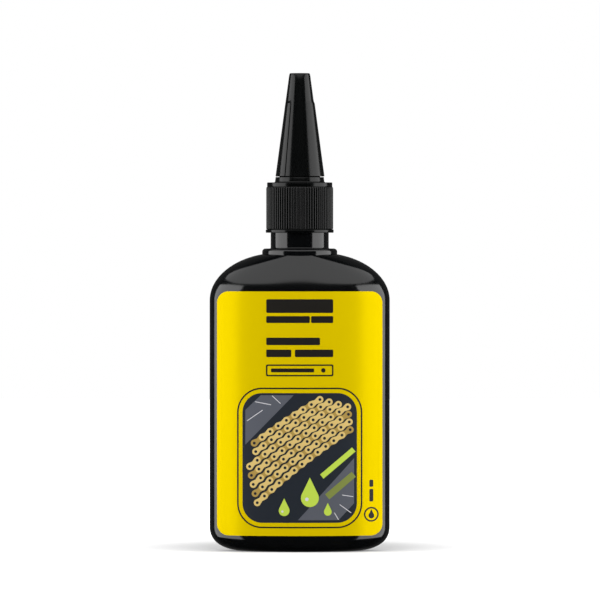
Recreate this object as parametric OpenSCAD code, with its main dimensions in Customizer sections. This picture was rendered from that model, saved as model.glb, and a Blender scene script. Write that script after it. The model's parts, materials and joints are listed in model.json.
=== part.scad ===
// Chain lube bottle: an oval blow-moulded bottle with a neck ring, a front label, a tapered
// dispensing spout clamped by a ribbed screw collar, and a long conical cap over the spout.
// Millimetres, +Z up, label towards -Y, origin at the centre of the standing face.

/* [Bottle body] */
// Width of the bottle
body_w = 60.5; // [54:0.5:90]
// Depth of the bottle, front to back
body_d = 30.8; // [28:0.2:60]
// Thickness of the blow-moulded wall
body_wall = 1; // [0.7:0.05:1.6]
// Thickness of the floor
floor_t = 1.2; // [0.8:0.1:2]
// Depth of the recess in the underside
push_up = 1; // [0.6:0.1:2]
// Height of the rounded heel at each end of the width
heel_h = 8.4; // [6:0.2:14]
// Height of the rounded heel at front and back
heel_face_h = 5; // [4:0.2:6]
// How far the heel draws in at each end of the width
heel_in_w = 13.4; // [6:0.2:16]
// How far the heel draws in at front and back
heel_in_d = 4.4; // [2:0.2:6]
// Fullness of the heel's curve, where 2 is an ellipse
heel_curve = 2.4; // [2:0.1:3.5]
// Width of the flat rim round the recess in the underside
foot_rim = 3; // [2:0.1:4]

/* [Shoulder] */
// Height at which the shoulder starts at each end of the width
shoulder_z = 84.2; // [80:0.2:140]
// Height of the shoulder's curve
shoulder_h = 16; // [12:0.2:26]
// How much higher the shoulder starts at front and back, over the label
shoulder_face_up = 3.4; // [0:0.2:6]
// Fullness of the shoulder's curve at front and back, where 2 is an ellipse
shoulder_face_curve = 1.2; // [1.2:0.1:2.4]
// Width at which the shoulder's curve ends under the neck ring
crown_w = 13.4; // [8:0.2:18]
// How much deeper than the neck the shoulder is where its curve ends
crown_margin = 2.1; // [0.2:0.1:2.4]

/* [Neck] */
// Diameter over the neck's bead and thread
neck_d = 19.5; // [16:0.1:26]
// Depth of the neck's thread
thread_h = 0.9; // [0.6:0.05:1.2]
// Wall of the neck under its thread
neck_wall = 1.45; // [1:0.05:2]
// Height of the bare neck between the ring and the collar
neck_bare = 5.3; // [3:0.1:10]
// How far the smooth bead reaches up into the collar
bead_up = 1.1; // [0.5:0.1:3]
// How far the neck ring stands out from the neck
ring_out = 2.85; // [1.5:0.05:4]
// Thickness of the neck ring
ring_t = 2.4; // [2:0.1:4]
// How far the ring sinks into the end of the shoulder's curve
ring_sink = 1; // [0.6:0.1:1.4]
// Radius of the ring's top edge
ring_round = 1.1; // [0.3:0.1:1.4]
// Radius of the fillet between the ring and the neck
ring_fillet = 0.4; // [0.2:0.1:1]

/* [Ribbed collar] */
// Height of the plain band at the bottom of the collar
base_band_h = 1.1; // [0.8:0.1:3]
// Height of the ribbed part of the collar
rib_h = 14.4; // [10:0.1:24]
// Height of the plain band at the top of the collar
top_band_h = 1.4; // [1:0.1:3]
// Number of ribs
rib_count = 78; // [48:1:90]
// Depth of the grooves between the ribs
rib_depth = 0.4; // [0.2:0.05:0.5]
// Wall of the collar under its ribs
collar_wall = 0.9; // [0.7:0.05:1.6]
// How far the bottom band stands out past the grooves
base_band_out = 0.55; // [0.4:0.05:1]
// How far the top band stands out past the grooves
top_band_out = 0.1; // [0.05:0.05:0.4]
// Radius of the collar's outer edges
band_round = 0.25; // [0.1:0.05:0.35]
// Thickness of the collar's top
collar_top_t = 1.2; // [0.8:0.1:2]

/* [Spout] */
// Thickness of the flange between the collar and the neck
flange_t = 1; // [0.8:0.1:2]
// How far the spout's plug reaches into the neck
plug_h = 4; // [2:0.2:8]
// Wall of the spout
spout_wall = 1.1; // [0.8:0.05:1.5]
// Height of the spout's visible base above the collar
boss_h = 1.8; // [1.2:0.1:4]
// How far the visible base widens from the cap down to the collar
boss_flare = 0.4; // [0.2:0.05:0.8]
// Radius of the small foot where the base meets the collar
boss_foot = 0.3; // [0.1:0.05:0.4]
// Diameter of the spout's tip
tip_d = 4.6; // [3.6:0.1:6]
// Diameter of the hole in the tip
orifice_d = 1.7; // [1.2:0.1:2.4]
// Length of the narrow hole at the tip
orifice_l = 3; // [2:0.2:6]
// How far the snap bead stands out from the spout
snap_out = 0.12; // [0.05:0.01:0.2]

/* [Over-cap] */
// Height of the over-cap
cap_h = 34.7; // [26:0.1:60]
// Diameter of the over-cap at its rim
cap_rim_d = 16.2; // [14:0.1:20]
// Diameter of the over-cap at its top
cap_top_d = 6.9; // [6.2:0.1:10]
// Wall of the over-cap
cap_wall = 1; // [0.7:0.05:1.4]
// Thickness of the over-cap's closed top
cap_top_t = 1.3; // [0.8:0.1:2]
// Radius of the over-cap's top edge
cap_round = 0.45; // [0.2:0.05:0.8]
// Number of saw-tooth grip ridges
ridge_count = 3; // [2:1:5]
// Height of a ridge at its sharp edge
ridge_out = 0.29; // [0.15:0.01:0.4]
// Angle over which a ridge rises
ridge_sweep = 54; // [30:1:70]
// Angle from the front at which the first ridge starts to rise
ridge_start = 28.3; // [0:0.1:120]
// Plain height above the ridges
ridge_top = 9.2; // [6:0.1:16]
// Length of the sealing pin
pin_l = 4.6; // [3.6:0.1:6]

/* [Front label] */
// How far the label's side edges stay in from the bottle's sides, as seen from the front
label_side_in = 2.5; // [2:0.1:8]
// Height of the label's bottom edge
label_z = 5.5; // [4:0.1:12]
// How far the label's top edge stays under the shoulder
label_top_in = 0.3; // [0:0.1:12]
// Radius of the label's corners
label_r = 3.9; // [2:0.1:6]
// Thickness of the label
label_t = 0.12; // [0.06:0.01:0.3]
// Thickness of the ink
ink_t = 0.06; // [0.03:0.01:0.1]

/* [Label print] */
// How far the dark panel stays in from the label's side edges
panel_side_in = 8; // [7:0.5:14]
// Height of the dark panel
panel_h = 43; // [30:0.5:44]
// How far the dark panel's bottom edge is above the label's
panel_up = 4.5; // [3.5:0.1:8]
// Corner radius of the dark panel
panel_r = 6; // [3:0.5:10]
// Widths of the dark bars above the panel, from the highest down
bar_w = [22, 16, 24];
// Heights of the dark bars above the panel
bar_h = [4, 5, 2.4];
// How far each bar's top edge is under the label's
bar_down = [7.3, 18.8, 26.9];
// Length of one chain link in the panel
link_l = 9; // [6:0.5:12]
// Width of one chain link in the panel
link_w = 5.4; // [4:0.2:7]

/* [Fits] */
// Radial clearance between the neck's bead and the collar
collar_gap = 0.2; // [0.1:0.05:0.3]
// Radial clearance between the collar's top hole and the spout
hole_gap = 0.2; // [0.1:0.05:0.4]
// Radial clearance between the spout's plug and the neck
plug_gap = 0.15; // [0.05:0.05:0.3]
// Radial clearance between the over-cap and the spout
cap_gap = 0.3; // [0.2:0.05:0.5]
// Seam between the over-cap's rim and the spout's ledge
rim_seam = 0.2; // [0.1:0.05:0.4]
// Radial clearance round the sealing pin
pin_gap = 0.12; // [0.05:0.01:0.2]
// Gap under the label and under the ink, for the adhesive
film_gap = 0.03; // [0.02:0.01:0.05]

/* [Hidden] */

$fn = 96;
// Points round the bottle outside and inside, and steps along the heel and shoulder curves
round_out = 72;
round_in = 48;
curve_steps = 10;
// Steps in a small rounded edge, and columns across the label
arc_steps = 5;
label_cols = 36;

// Half sizes of the bottle
half_w = body_w / 2;
half_d = body_d / 2;
// Radii of the neck
neck_r = neck_d / 2;
root_r = neck_r - thread_h;
bore_r = root_r - neck_wall;
crown_d = neck_d + 2 * crown_margin;
// Heights from the shoulder up
label_w = body_w - 2 * label_side_in;
crown_z = shoulder_z + shoulder_h;
shoulder_face_z = shoulder_z + shoulder_face_up;
ring_z = crown_z - ring_sink;
ring_top_z = ring_z + ring_t;
collar_z = ring_top_z + neck_bare;
rib_z = collar_z + base_band_h;
top_band_z = rib_z + rib_h;
collar_top_z = top_band_z + top_band_h;
flange_z = collar_top_z - collar_top_t - flange_t;
inside_z = push_up + floor_t;
// Radii of the collar
collar_bore_r = neck_r + collar_gap;
groove_r = collar_bore_r + collar_wall;
flange_r = collar_bore_r - collar_gap;
// Radii and heights of the over-cap and the spout
cap_rim_r = cap_rim_d / 2;
cap_top_r = cap_top_d / 2;
ledge_z = collar_top_z + boss_h;
cap_z = ledge_z + rim_seam;
cap_slope = (cap_rim_r - cap_top_r) / cap_h;
boss_r = cap_rim_r + boss_flare;
plug_r = bore_r - plug_gap;
nozzle_r = cap_rim_r - cap_wall - cap_gap;
pin_r = orifice_d / 2 - pin_gap;
pin_tip_z = cap_z + cap_h - cap_top_t - pin_l;
// The spout's tip stands a little above the pin's tip
tip_z = pin_tip_z + orifice_l * 0.6;
hole_r = boss_r + boss_foot + hole_gap;
// Label and panel
label_top_z = shoulder_face_z - label_top_in;
label_h = label_top_z - label_z;
panel_w = label_w - 2 * panel_side_in;
panel_z = label_z + panel_up;
// Offsets of the label and the ink from the bottle's surface
label_off = film_gap;
ink_off = 2 * film_gap + label_t;
// How far a cut runs past the face it opens
past = 1;

// How much of a heel's draw is regained at height z, for a heel h high
function heel_share(z, h) = z >= h ? 1 : pow(1 - pow(1 - z / h, heel_curve), 1 / heel_curve);

// How much of a shoulder's reach is left at height z, for one that ends h above its start
function shoulder_share(z, start, h, curve) =
    z <= start ? 1 : pow(max(0, 1 - pow((z - start) / h, curve)), 1 / curve);

// Half width and half depth of the outside at height z
function out_w(z) = z < shoulder_z
    ? half_w - heel_in_w * (1 - heel_share(z, heel_h))
    : crown_w / 2 + (half_w - crown_w / 2) * shoulder_share(z, shoulder_z, shoulder_h, 2);
function out_d(z) = z < shoulder_z
    ? half_d - heel_in_d * (1 - heel_share(z, heel_face_h))
    : crown_d / 2 + (half_d - crown_d / 2)
      * shoulder_share(z, shoulder_face_z, crown_z - shoulder_face_z, shoulder_face_curve);

// Half width and half depth of the inside at height z
function in_w(z) = z < shoulder_z
    ? half_w - body_wall - heel_in_w * (1 - heel_share(z - inside_z, heel_h - inside_z))
    : crown_w / 2 + (half_w - body_wall - crown_w / 2)
      * shoulder_share(z, shoulder_z, shoulder_h - body_wall, 2);
function in_d(z) = z < shoulder_z
    ? half_d - body_wall - heel_in_d * (1 - heel_share(z - inside_z, heel_face_h - inside_z))
    : crown_d / 2 - body_wall + (half_d - crown_d / 2)
      * shoulder_share(z, shoulder_face_z, crown_z - shoulder_face_z - body_wall,
                       shoulder_face_curve);

// Heights of the rings along a heel from z0 to z1, close together where it is steep
function heel_heights(z0, z1) =
    [for (i = [0:curve_steps - 1]) z0 + (z1 - z0) * (1 - cos(90 * i / curve_steps))];

// Heights of the rings up a shoulder whose curve ends at height z1
function shoulder_heights(z1) = concat(
    shoulder_face_up > 0 ? [for (i = [0:2]) shoulder_z + shoulder_face_up * i / 3] : [],
    [for (i = [0:curve_steps])
        shoulder_face_z + (z1 - shoulder_face_z) * sin(90 * i / curve_steps)]);

// Points of an ellipse at height z
function oval(a, b, z, count) =
    [for (i = [0:count - 1]) [a * cos(360 * i / count), b * sin(360 * i / count), z]];

// A quarter circle of radius r about [x, y], from angle a0 to a1
function arc(x, y, r, a0, a1) =
    [for (i = [0:arc_steps]) let (a = a0 + (a1 - a0) * i / arc_steps) [x + r * cos(a), y + r * sin(a)]];

// Flat outline of a rectangle w wide and h high with corners of radius r, standing on y = 0
function rounded(w, h, r) = concat(
    arc(w / 2 - r, r, r, -90, 0),
    arc(w / 2 - r, h - r, r, 0, 90),
    arc(r - w / 2, h - r, r, 90, 180),
    arc(r - w / 2, r, r, 180, 270));

// Closed solid through rings of points, each ring with the same number of points
module loft(rings) {
    count = len(rings[0]);
    last = len(rings) - 1;
    polyhedron(
        points = [for (ring = rings) each ring],
        faces = concat(
            [[for (j = [0:count - 1]) j]],
            [for (i = [0:last - 1], j = [0:count - 1])
                let (k = (j + 1) % count)
                [i * count + j, (i + 1) * count + j, (i + 1) * count + k, i * count + k]],
            [[for (j = [count - 1:-1:0]) last * count + j]]));
}

// Outside of the bottle below the neck
module body_outside() {
    heights = concat(heel_heights(0, heel_h), [heel_h], shoulder_heights(crown_z));
    loft([for (z = heights) oval(out_w(z), out_d(z), z, round_out)]);
}

// Hollow of the bottle below the neck
module body_hollow() {
    heights = concat(heel_heights(inside_z, heel_h), [heel_h],
                     shoulder_heights(crown_z - body_wall));
    loft([for (z = heights) oval(in_w(z), in_d(z), z, round_in)]);
}

// Recess in the underside
module foot_recess() {
    translate([0, 0, -past])
        linear_extrude(height = push_up + past)
            polygon([for (p = oval(half_w - heel_in_w - foot_rim, half_d - heel_in_d - foot_rim, 0,
                                   round_in)) [p[0], p[1]]]);
}

// Neck with its ring, bead and thread land
module neck() {
    bead_top = collar_z + bead_up;
    ring_r = neck_r + ring_out;
    rotate_extrude()
        polygon(concat(
            [[0, ring_z], [ring_r, ring_z]],
            arc(ring_r - ring_round, ring_top_z - ring_round, ring_round, 0, 90),
            arc(neck_r + ring_fillet, ring_top_z + ring_fillet, ring_fillet, 270, 180),
            [[neck_r, bead_top], [root_r, bead_top + thread_h], [root_r, flange_z], [0, flange_z]]));
}

module bottle() {
    color("#16171a")
    difference() {
        union() {
            body_outside();
            neck();
        }
        body_hollow();
        foot_recess();
        translate([0, 0, shoulder_z + shoulder_h / 2])
            cylinder(r = bore_r, h = flange_z);
    }
}

// Skin that follows the front of the bottle, at a distance off from it, with rounded corners
module skin(off, thick, w, z0, h, r, cols) {
    // Rows as [height, inset of the row's ends]
    low = [for (i = [0:arc_steps]) let (a = 90 * i / arc_steps) [z0 + r * (1 - cos(a)), r * (1 - sin(a))]];
    high = [for (i = [0:arc_steps]) let (a = 90 * i / arc_steps)
        [z0 + h - r * (1 - sin(a)), r * (1 - cos(a))]];
    rows = concat(low, z0 + r < heel_h ? [[heel_h, 0]] : [],
                  z0 + h - r > shoulder_z ? [[shoulder_z, 0]] : [], high);
    last = len(rows) - 1;
    side = (cols + 1) * (last + 1);
    function at(row, col, d) =
        let (z = row[0],
             a = out_w(z) + d,
             b = out_d(z) + d,
             end = asin((w / 2 - row[1]) / a),
             t = end * (2 * col / cols - 1))
        [a * sin(t), -b * cos(t), z];
    function o(i, j) = i * (cols + 1) + j;
    function n(i, j) = side + o(i, j);
    polyhedron(
        points = concat(
            [for (row = rows, j = [0:cols]) at(row, j, off + thick)],
            [for (row = rows, j = [0:cols]) at(row, j, off)]),
        faces = concat(
            [for (i = [0:last - 1], j = [0:cols - 1]) [o(i, j), o(i + 1, j), o(i + 1, j + 1), o(i, j + 1)]],
            [for (i = [0:last - 1], j = [0:cols - 1]) [n(i, j), n(i, j + 1), n(i + 1, j + 1), n(i + 1, j)]],
            [for (j = [0:cols - 1]) [o(0, j), o(0, j + 1), n(0, j + 1), n(0, j)]],
            [for (j = [0:cols - 1]) [o(last, j + 1), o(last, j), n(last, j), n(last, j + 1)]],
            [for (i = [0:last - 1]) [o(i + 1, 0), o(i, 0), n(i, 0), n(i + 1, 0)]],
            [for (i = [0:last - 1]) [o(i, cols), o(i + 1, cols), n(i + 1, cols), n(i, cols)]]));
}

module front_label() {
    color("#d8bc00")
    skin(label_off, label_t, label_w, label_z, label_h, label_r, label_cols);
}

// Ink of the label's straight part, where children draw its outline flat, seen from the front
module ink(off) {
    inner = off;
    outer = off + ink_t;
    intersection() {
        translate([0, 0, heel_h])
            linear_extrude(height = shoulder_z - heel_h)
                difference() {
                    polygon([for (p = oval(half_w + outer, half_d + outer, 0, round_out)) [p[0], p[1]]]);
                    polygon([for (p = oval(half_w + inner, half_d + inner, 0, round_out)) [p[0], p[1]]]);
                }
        rotate([90, 0, 0])
            linear_extrude(height = body_d)
                children();
    }
}

module label_ink_dark() {
    color("#201f1d") {
        ink(ink_off)
            translate([0, panel_z])
                polygon(rounded(panel_w, panel_h, panel_r));
        for (i = [0:len(bar_w) - 1])
            ink(ink_off)
                translate([0, label_top_z - bar_down[i] - bar_h[i]])
                    polygon(rounded(bar_w[i], bar_h[i], bar_h[i] / 4));
    }
}

// A run of plain chain links across the panel
module label_ink_gold() {
    color("#c9a227")
    for (i = [-1:1])
        ink(ink_off + ink_t + film_gap)
            translate([i * link_l * 1.25, panel_z + panel_h / 2 - link_w / 2])
                difference() {
                    polygon(rounded(link_l, link_w, link_w / 2));
                    translate([0, link_w / 4])
                        polygon(rounded(link_l - link_w / 2, link_w / 2, link_w / 4));
                }
}

// Outline of the ribs round the collar, each with a flat crest and sloping sides
function rib_outline() =
    let (pitch = 360 / rib_count, crest_r = groove_r + rib_depth)
    [for (i = [0:rib_count - 1], step = [[-0.34, 0], [-0.14, 1], [0.14, 1], [0.34, 0]])
        let (r = step[1] == 1 ? crest_r : groove_r, a = (i + step[0]) * pitch)
        [r * cos(a), r * sin(a)]];

module ribbed_collar() {
    base_r = groove_r + base_band_out;
    top_r = groove_r + top_band_out;
    color("#18191b")
    difference() {
        union() {
            rotate_extrude()
                polygon(concat(
                    [[0, collar_z]],
                    arc(base_r - band_round, collar_z + band_round, band_round, -90, 0),
                    arc(base_r - band_round, rib_z - band_round, band_round, 0, 90),
                    [[groove_r, rib_z], [groove_r, top_band_z]],
                    arc(top_r - band_round, collar_top_z - band_round, band_round, 0, 90),
                    [[0, collar_top_z]]));
            translate([0, 0, rib_z])
                linear_extrude(height = rib_h)
                    polygon(rib_outline());
        }
        translate([0, 0, collar_z - past])
            cylinder(r = collar_bore_r, h = flange_z + flange_t - collar_z + past);
        cylinder(r = hole_r, h = collar_top_z + past);
    }
}

module spout() {
    // Slopes of the nozzle outside and of its channel
    tip_r = tip_d / 2;
    throat_z = tip_z - orifice_l;
    snap_z = ledge_z + 2;
    function nozzle_at(z) = nozzle_r + (tip_r - nozzle_r) * (z - ledge_z) / (tip_z - ledge_z);
    snap_r = nozzle_at(snap_z) + snap_out;
    color("#1a1b1d")
    difference() {
        rotate_extrude()
            polygon(concat(
                [[0, flange_z - plug_h], [plug_r - 0.4, flange_z - plug_h], [plug_r, flange_z - plug_h + 0.8],
                 [plug_r, flange_z], [flange_r, flange_z], [flange_r, flange_z + flange_t],
                 [boss_r + boss_foot, flange_z + flange_t], [boss_r + boss_foot, collar_top_z]],
                arc(boss_r + boss_foot, collar_top_z + boss_foot, boss_foot, 270, 180),
                [[cap_rim_r, ledge_z], [nozzle_r, ledge_z],
                 [nozzle_at(snap_z - 0.5), snap_z - 0.5], [snap_r, snap_z],
                 [nozzle_at(snap_z + 0.5), snap_z + 0.5]],
                [[nozzle_at(tip_z - 0.5), tip_z - 0.5], [tip_r - 0.4, tip_z], [0, tip_z]]));
        // Channel from the plug to the throat, and the narrow hole through the tip
        translate([0, 0, flange_z - plug_h - past])
            cylinder(r = plug_r - spout_wall, h = plug_h + past);
        translate([0, 0, flange_z])
            cylinder(r1 = plug_r - spout_wall, r2 = nozzle_r - spout_wall, h = ledge_z - flange_z);
        translate([0, 0, ledge_z])
            cylinder(r1 = nozzle_r - spout_wall, r2 = orifice_d / 2, h = throat_z - ledge_z);
        translate([0, 0, throat_z])
            cylinder(r = orifice_d / 2, h = orifice_l + past);
    }
}

// One grip ridge: a slice of a cone whose axis is set off, so that it rises out of the cap
module grip_ridge(angle) {
    top_z = cap_z + cap_h - ridge_top;
    top_r = cap_rim_r - cap_slope * (top_z - cap_z);
    shift = ridge_out / sin(ridge_sweep);
    reach = cap_rim_r * 2;
    intersection() {
        rotate([0, 0, angle + 90])
            translate([shift, 0, cap_z])
                rotate_extrude()
                    polygon([[0, 0], [cap_rim_r, 0], [top_r + cap_slope * ridge_out * 2, top_z - cap_z - ridge_out * 2],
                             [top_r - ridge_out, top_z - cap_z], [0, top_z - cap_z]]);
        translate([0, 0, cap_z])
            linear_extrude(height = cap_h)
                polygon([[0, 0], reach * [cos(angle), sin(angle)],
                         reach * [cos(angle + ridge_sweep), sin(angle + ridge_sweep)]]);
    }
}

module over_cap() {
    inner_top_r = cap_top_r + cap_slope * cap_top_t - cap_wall;
    color("#1a1b1d")
    union() {
        difference() {
            union() {
                rotate_extrude()
                    polygon(concat(
                        [[0, cap_z], [cap_rim_r, cap_z]],
                        arc(cap_top_r - cap_round, cap_z + cap_h - cap_round, cap_round, 0, 90),
                        [[0, cap_z + cap_h]]));
                for (i = [0:ridge_count - 1])
                    grip_ridge(ridge_start - 90 + 360 * i / ridge_count);
            }
            translate([0, 0, cap_z])
                cylinder(r1 = cap_rim_r - cap_wall, r2 = inner_top_r, h = cap_h - cap_top_t);
        }
        // Sealing pin under the closed top
        translate([0, 0, pin_tip_z])
            cylinder(r = pin_r, h = pin_l + cap_top_t / 2);
    }
}

bottle();
front_label();
label_ink_dark();
label_ink_gold();
spout();
ribbed_collar();
over_cap();
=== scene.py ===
"""Looks of an oval chain lube bottle with a ribbed collar and a long conical cap.

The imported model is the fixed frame. Smooth shells, threads, ribs and a generic label print are
built round it in metres, each riding on the body that carries it.
"""
from __future__ import annotations

import json
import logging
import math
from dataclasses import dataclass, field
from enum import Enum
from typing import Any, Iterable, Sequence

import bmesh
import bpy
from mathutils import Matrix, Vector

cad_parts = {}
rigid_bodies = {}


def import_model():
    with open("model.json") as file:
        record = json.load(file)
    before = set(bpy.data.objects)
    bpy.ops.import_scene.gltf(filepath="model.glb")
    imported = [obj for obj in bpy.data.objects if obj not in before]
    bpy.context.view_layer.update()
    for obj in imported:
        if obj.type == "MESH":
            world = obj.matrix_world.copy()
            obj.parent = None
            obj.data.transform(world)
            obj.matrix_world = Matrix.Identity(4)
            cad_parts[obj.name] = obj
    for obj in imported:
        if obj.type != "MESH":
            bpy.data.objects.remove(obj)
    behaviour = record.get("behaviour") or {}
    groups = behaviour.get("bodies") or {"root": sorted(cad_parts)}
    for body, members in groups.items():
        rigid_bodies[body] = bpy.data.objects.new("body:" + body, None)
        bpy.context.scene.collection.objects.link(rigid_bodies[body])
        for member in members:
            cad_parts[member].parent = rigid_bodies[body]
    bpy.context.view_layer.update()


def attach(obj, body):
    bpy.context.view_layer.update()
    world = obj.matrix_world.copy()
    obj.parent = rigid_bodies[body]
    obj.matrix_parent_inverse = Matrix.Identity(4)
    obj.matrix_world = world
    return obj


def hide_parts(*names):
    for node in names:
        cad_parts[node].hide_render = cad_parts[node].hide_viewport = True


log = logging.getLogger("bottle")

MM = 0.001
WELD = 0.0005 * MM
SLIVER = 0.0002 * MM
Point = tuple[float, float, float]
Flat = tuple[float, float]
Profile = list[tuple[float, float, float]]  # radius, height, and how much a rib or ridge adds


class Body(Enum):
    """Bodies of the frame that pieces ride on."""

    BOTTLE = "bottle"
    SPOUT = "spout"
    COLLAR = "collar"
    CAP = "over_cap"


class Slot(Enum):
    """Material slots of the record."""

    BOTTLE = "black_bottle"
    CLOSURE = "black_closure"
    LABEL = "yellow_label"
    DARK_INK = "dark_ink"
    GOLD_INK = "gold_ink"


class Join(Enum):
    """Ways to combine two closed meshes, by the boolean's own names."""

    ADD = "UNION"
    CUT = "DIFFERENCE"


class Ink(Enum):
    """Printing inks of the label, by their sRGB colours."""

    BLACK = "211f1c"
    CHARCOAL = "262b33"
    SLATE = "5a5d66"
    GOLD = "dcc077"
    OCHRE = "b0924c"
    LIME = "bfd94f"
    OLIVE = "7f8a45"
    WHITE = "d9d9de"


def linear(code: str) -> tuple[float, float, float, float]:
    """Turns an sRGB hex colour into linear light.

    Args:
        code: Six hex digits.

    Returns:
        Linear red, green, blue and an alpha of 1.
    """
    parts = [int(code[i : i + 2], 16) / 255 for i in (0, 2, 4)]
    flat = [c / 12.92 if c <= 0.04045 else ((c + 0.055) / 1.055) ** 2.4 for c in parts]
    return (flat[0], flat[1], flat[2], 1.0)


def add_node(
    tree: bpy.types.NodeTree, kind: str, inputs: dict[str | int, Any] | None = None, **settings: Any
) -> bpy.types.Node:
    """Adds a node with its settings and links.

    Args:
        tree: The tree that gets the node.
        kind: The node's type name.
        inputs: Values or output sockets by input name or number.
        **settings: Attributes of the node itself.

    Returns:
        The new node.
    """
    node = tree.nodes.new(kind)
    for name, value in settings.items():
        setattr(node, name, value)
    for name, value in (inputs or {}).items():
        if isinstance(value, bpy.types.NodeSocket):
            tree.links.new(value, node.inputs[name])
        else:
            node.inputs[name].default_value = value
    return node


def new_material(name: str) -> tuple[bpy.types.Material, bpy.types.NodeTree]:
    """Makes an empty node material.

    Args:
        name: What the real material is.

    Returns:
        The material and its node tree.
    """
    material = bpy.data.materials.new(name)
    material.use_nodes = True
    material.node_tree.nodes.clear()
    return material, material.node_tree


def backdrop_rays(tree: bpy.types.NodeTree) -> bpy.types.NodeSocket:
    """Tells rays that see the backdrop from rays that only carry light.

    Args:
        tree: The tree that gets the nodes.

    Returns:
        A socket that is 1 for camera, glossy and transmission rays and 0 for the rest.
    """
    paths = add_node(tree, "ShaderNodeLightPath").outputs
    seen = paths["Is Camera Ray"]
    for name in ("Is Glossy Ray", "Is Transmission Ray"):
        either = {0: seen, 1: paths[name]}
        seen = add_node(tree, "ShaderNodeMath", either, operation="MAXIMUM").outputs[0]
    return seen


@dataclass(frozen=True)
class MouldedPlastic:
    """Black moulded plastic, whose gloss carries a faint ripple from the mould.

    The ripple's size is real: blow moulding leaves soft waves some millimetres wide, injection
    moulding a finer, flatter skin. A real grain of a few hundredths of a millimetre is too fine
    to show, so it is drawn some tenths wide, as a slight change of gloss.
    """

    name: str
    colour: str
    roughness: float
    ior: float
    specular: float
    wave_mm: float
    wave_depth_mm: float
    grain_mm: float
    parting_line: bool = False
    gloss_range: Flat = (0.85, 1.2)
    pale_gain: float = 1.25
    seam_mm: float = 0.18
    seam_rise: float = 2.0

    def make(self) -> bpy.types.Material:
        """Builds the material.

        Returns:
            The finished material.
        """
        material, tree = new_material(self.name)
        place = add_node(tree, "ShaderNodeTexCoord").outputs["Object"]
        wave = add_node(
            tree,
            "ShaderNodeTexNoise",
            {"Vector": place, "Scale": 1 / (self.wave_mm * MM), "Detail": 1.0},
        )
        grain = add_node(
            tree,
            "ShaderNodeTexNoise",
            {"Vector": place, "Scale": 1 / (self.grain_mm * MM), "Detail": 2.0},
        )
        rough = add_node(
            tree,
            "ShaderNodeMapRange",
            {
                "Value": grain.outputs["Fac"],
                "To Min": self.roughness * self.gloss_range[0],
                "To Max": self.roughness * self.gloss_range[1],
            },
        )
        colour = linear(self.colour)
        paler = tuple(c * self.pale_gain for c in colour[:3]) + (1.0,)
        shade = add_node(
            tree,
            "ShaderNodeMix",
            {"Factor": wave.outputs["Fac"], "A": colour, "B": paler},
            data_type="RGBA",
        )
        height = wave.outputs["Fac"]
        if self.parting_line:
            height = self._seam(tree, place, height)
        bump = add_node(
            tree,
            "ShaderNodeBump",
            {"Height": height, "Distance": self.wave_depth_mm * MM, "Strength": 1.0},
        )
        surface = add_node(
            tree,
            "ShaderNodeBsdfPrincipled",
            {
                "Base Color": shade.outputs["Result"],
                "Roughness": rough.outputs["Result"],
                "IOR": self.ior,
                "Specular IOR Level": self.specular,
                "Normal": bump.outputs["Normal"],
            },
        )
        add_node(tree, "ShaderNodeOutputMaterial", {"Surface": surface.outputs["BSDF"]})
        return material

    def _seam(
        self, tree: bpy.types.NodeTree, place: bpy.types.NodeSocket, height: bpy.types.NodeSocket
    ) -> bpy.types.NodeSocket:
        """Adds the mould's parting line, a fine ridge where the shells met at the sides.

        Args:
            tree: The material's tree.
            place: Object coordinates.
            height: The bump height so far.

        Returns:
            The socket of the new height.
        """
        half_width = self.seam_mm / 2 * MM
        y = add_node(tree, "ShaderNodeSeparateXYZ", {"Vector": place}).outputs["Y"]
        away = add_node(tree, "ShaderNodeMath", {0: y}, operation="ABSOLUTE")
        ridge = add_node(
            tree,
            "ShaderNodeMapRange",
            {
                "Value": away.outputs[0],
                "From Max": half_width,
                "To Min": self.seam_rise,
                "To Max": 0.0,
            },
            interpolation_type="SMOOTHSTEP",
        )
        total = add_node(tree, "ShaderNodeMath", {0: height, 1: ridge.outputs["Result"]})
        return total.outputs[0]


@dataclass(frozen=True)
class PrintedFilm:
    """Ink on a smooth label film, even in colour, with a satin varnish and a faint mottle.

    The mottle of real print is about 0.1 mm wide. It is drawn wider, so that it shows at all.
    """

    name: str
    colour: str
    roughness: float
    specular: float
    metallic: float
    mottle_mm: float = 0.35
    mottle_depth_mm: float = 0.002
    mottle_tone: float = 0.97

    def make(self) -> bpy.types.Material:
        """Builds the material.

        Returns:
            The finished material.
        """
        material, tree = new_material(self.name)
        place = add_node(tree, "ShaderNodeTexCoord").outputs["Object"]
        mottle = add_node(
            tree,
            "ShaderNodeTexNoise",
            {"Vector": place, "Scale": 1 / (self.mottle_mm * MM), "Detail": 2.0},
        )
        colour = linear(self.colour)
        darker = tuple(c * self.mottle_tone for c in colour[:3]) + (1.0,)
        shade = add_node(
            tree,
            "ShaderNodeMix",
            {"Factor": mottle.outputs["Fac"], "A": darker, "B": colour},
            data_type="RGBA",
        )
        bump = add_node(
            tree,
            "ShaderNodeBump",
            {
                "Height": mottle.outputs["Fac"],
                "Distance": self.mottle_depth_mm * MM,
                "Strength": 1.0,
            },
        )
        surface = add_node(
            tree,
            "ShaderNodeBsdfPrincipled",
            {
                "Base Color": shade.outputs["Result"],
                "Roughness": self.roughness,
                "Specular IOR Level": self.specular,
                "Metallic": self.metallic,
                "Normal": bump.outputs["Normal"],
            },
        )
        add_node(tree, "ShaderNodeOutputMaterial", {"Surface": surface.outputs["BSDF"]})
        return material


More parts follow.
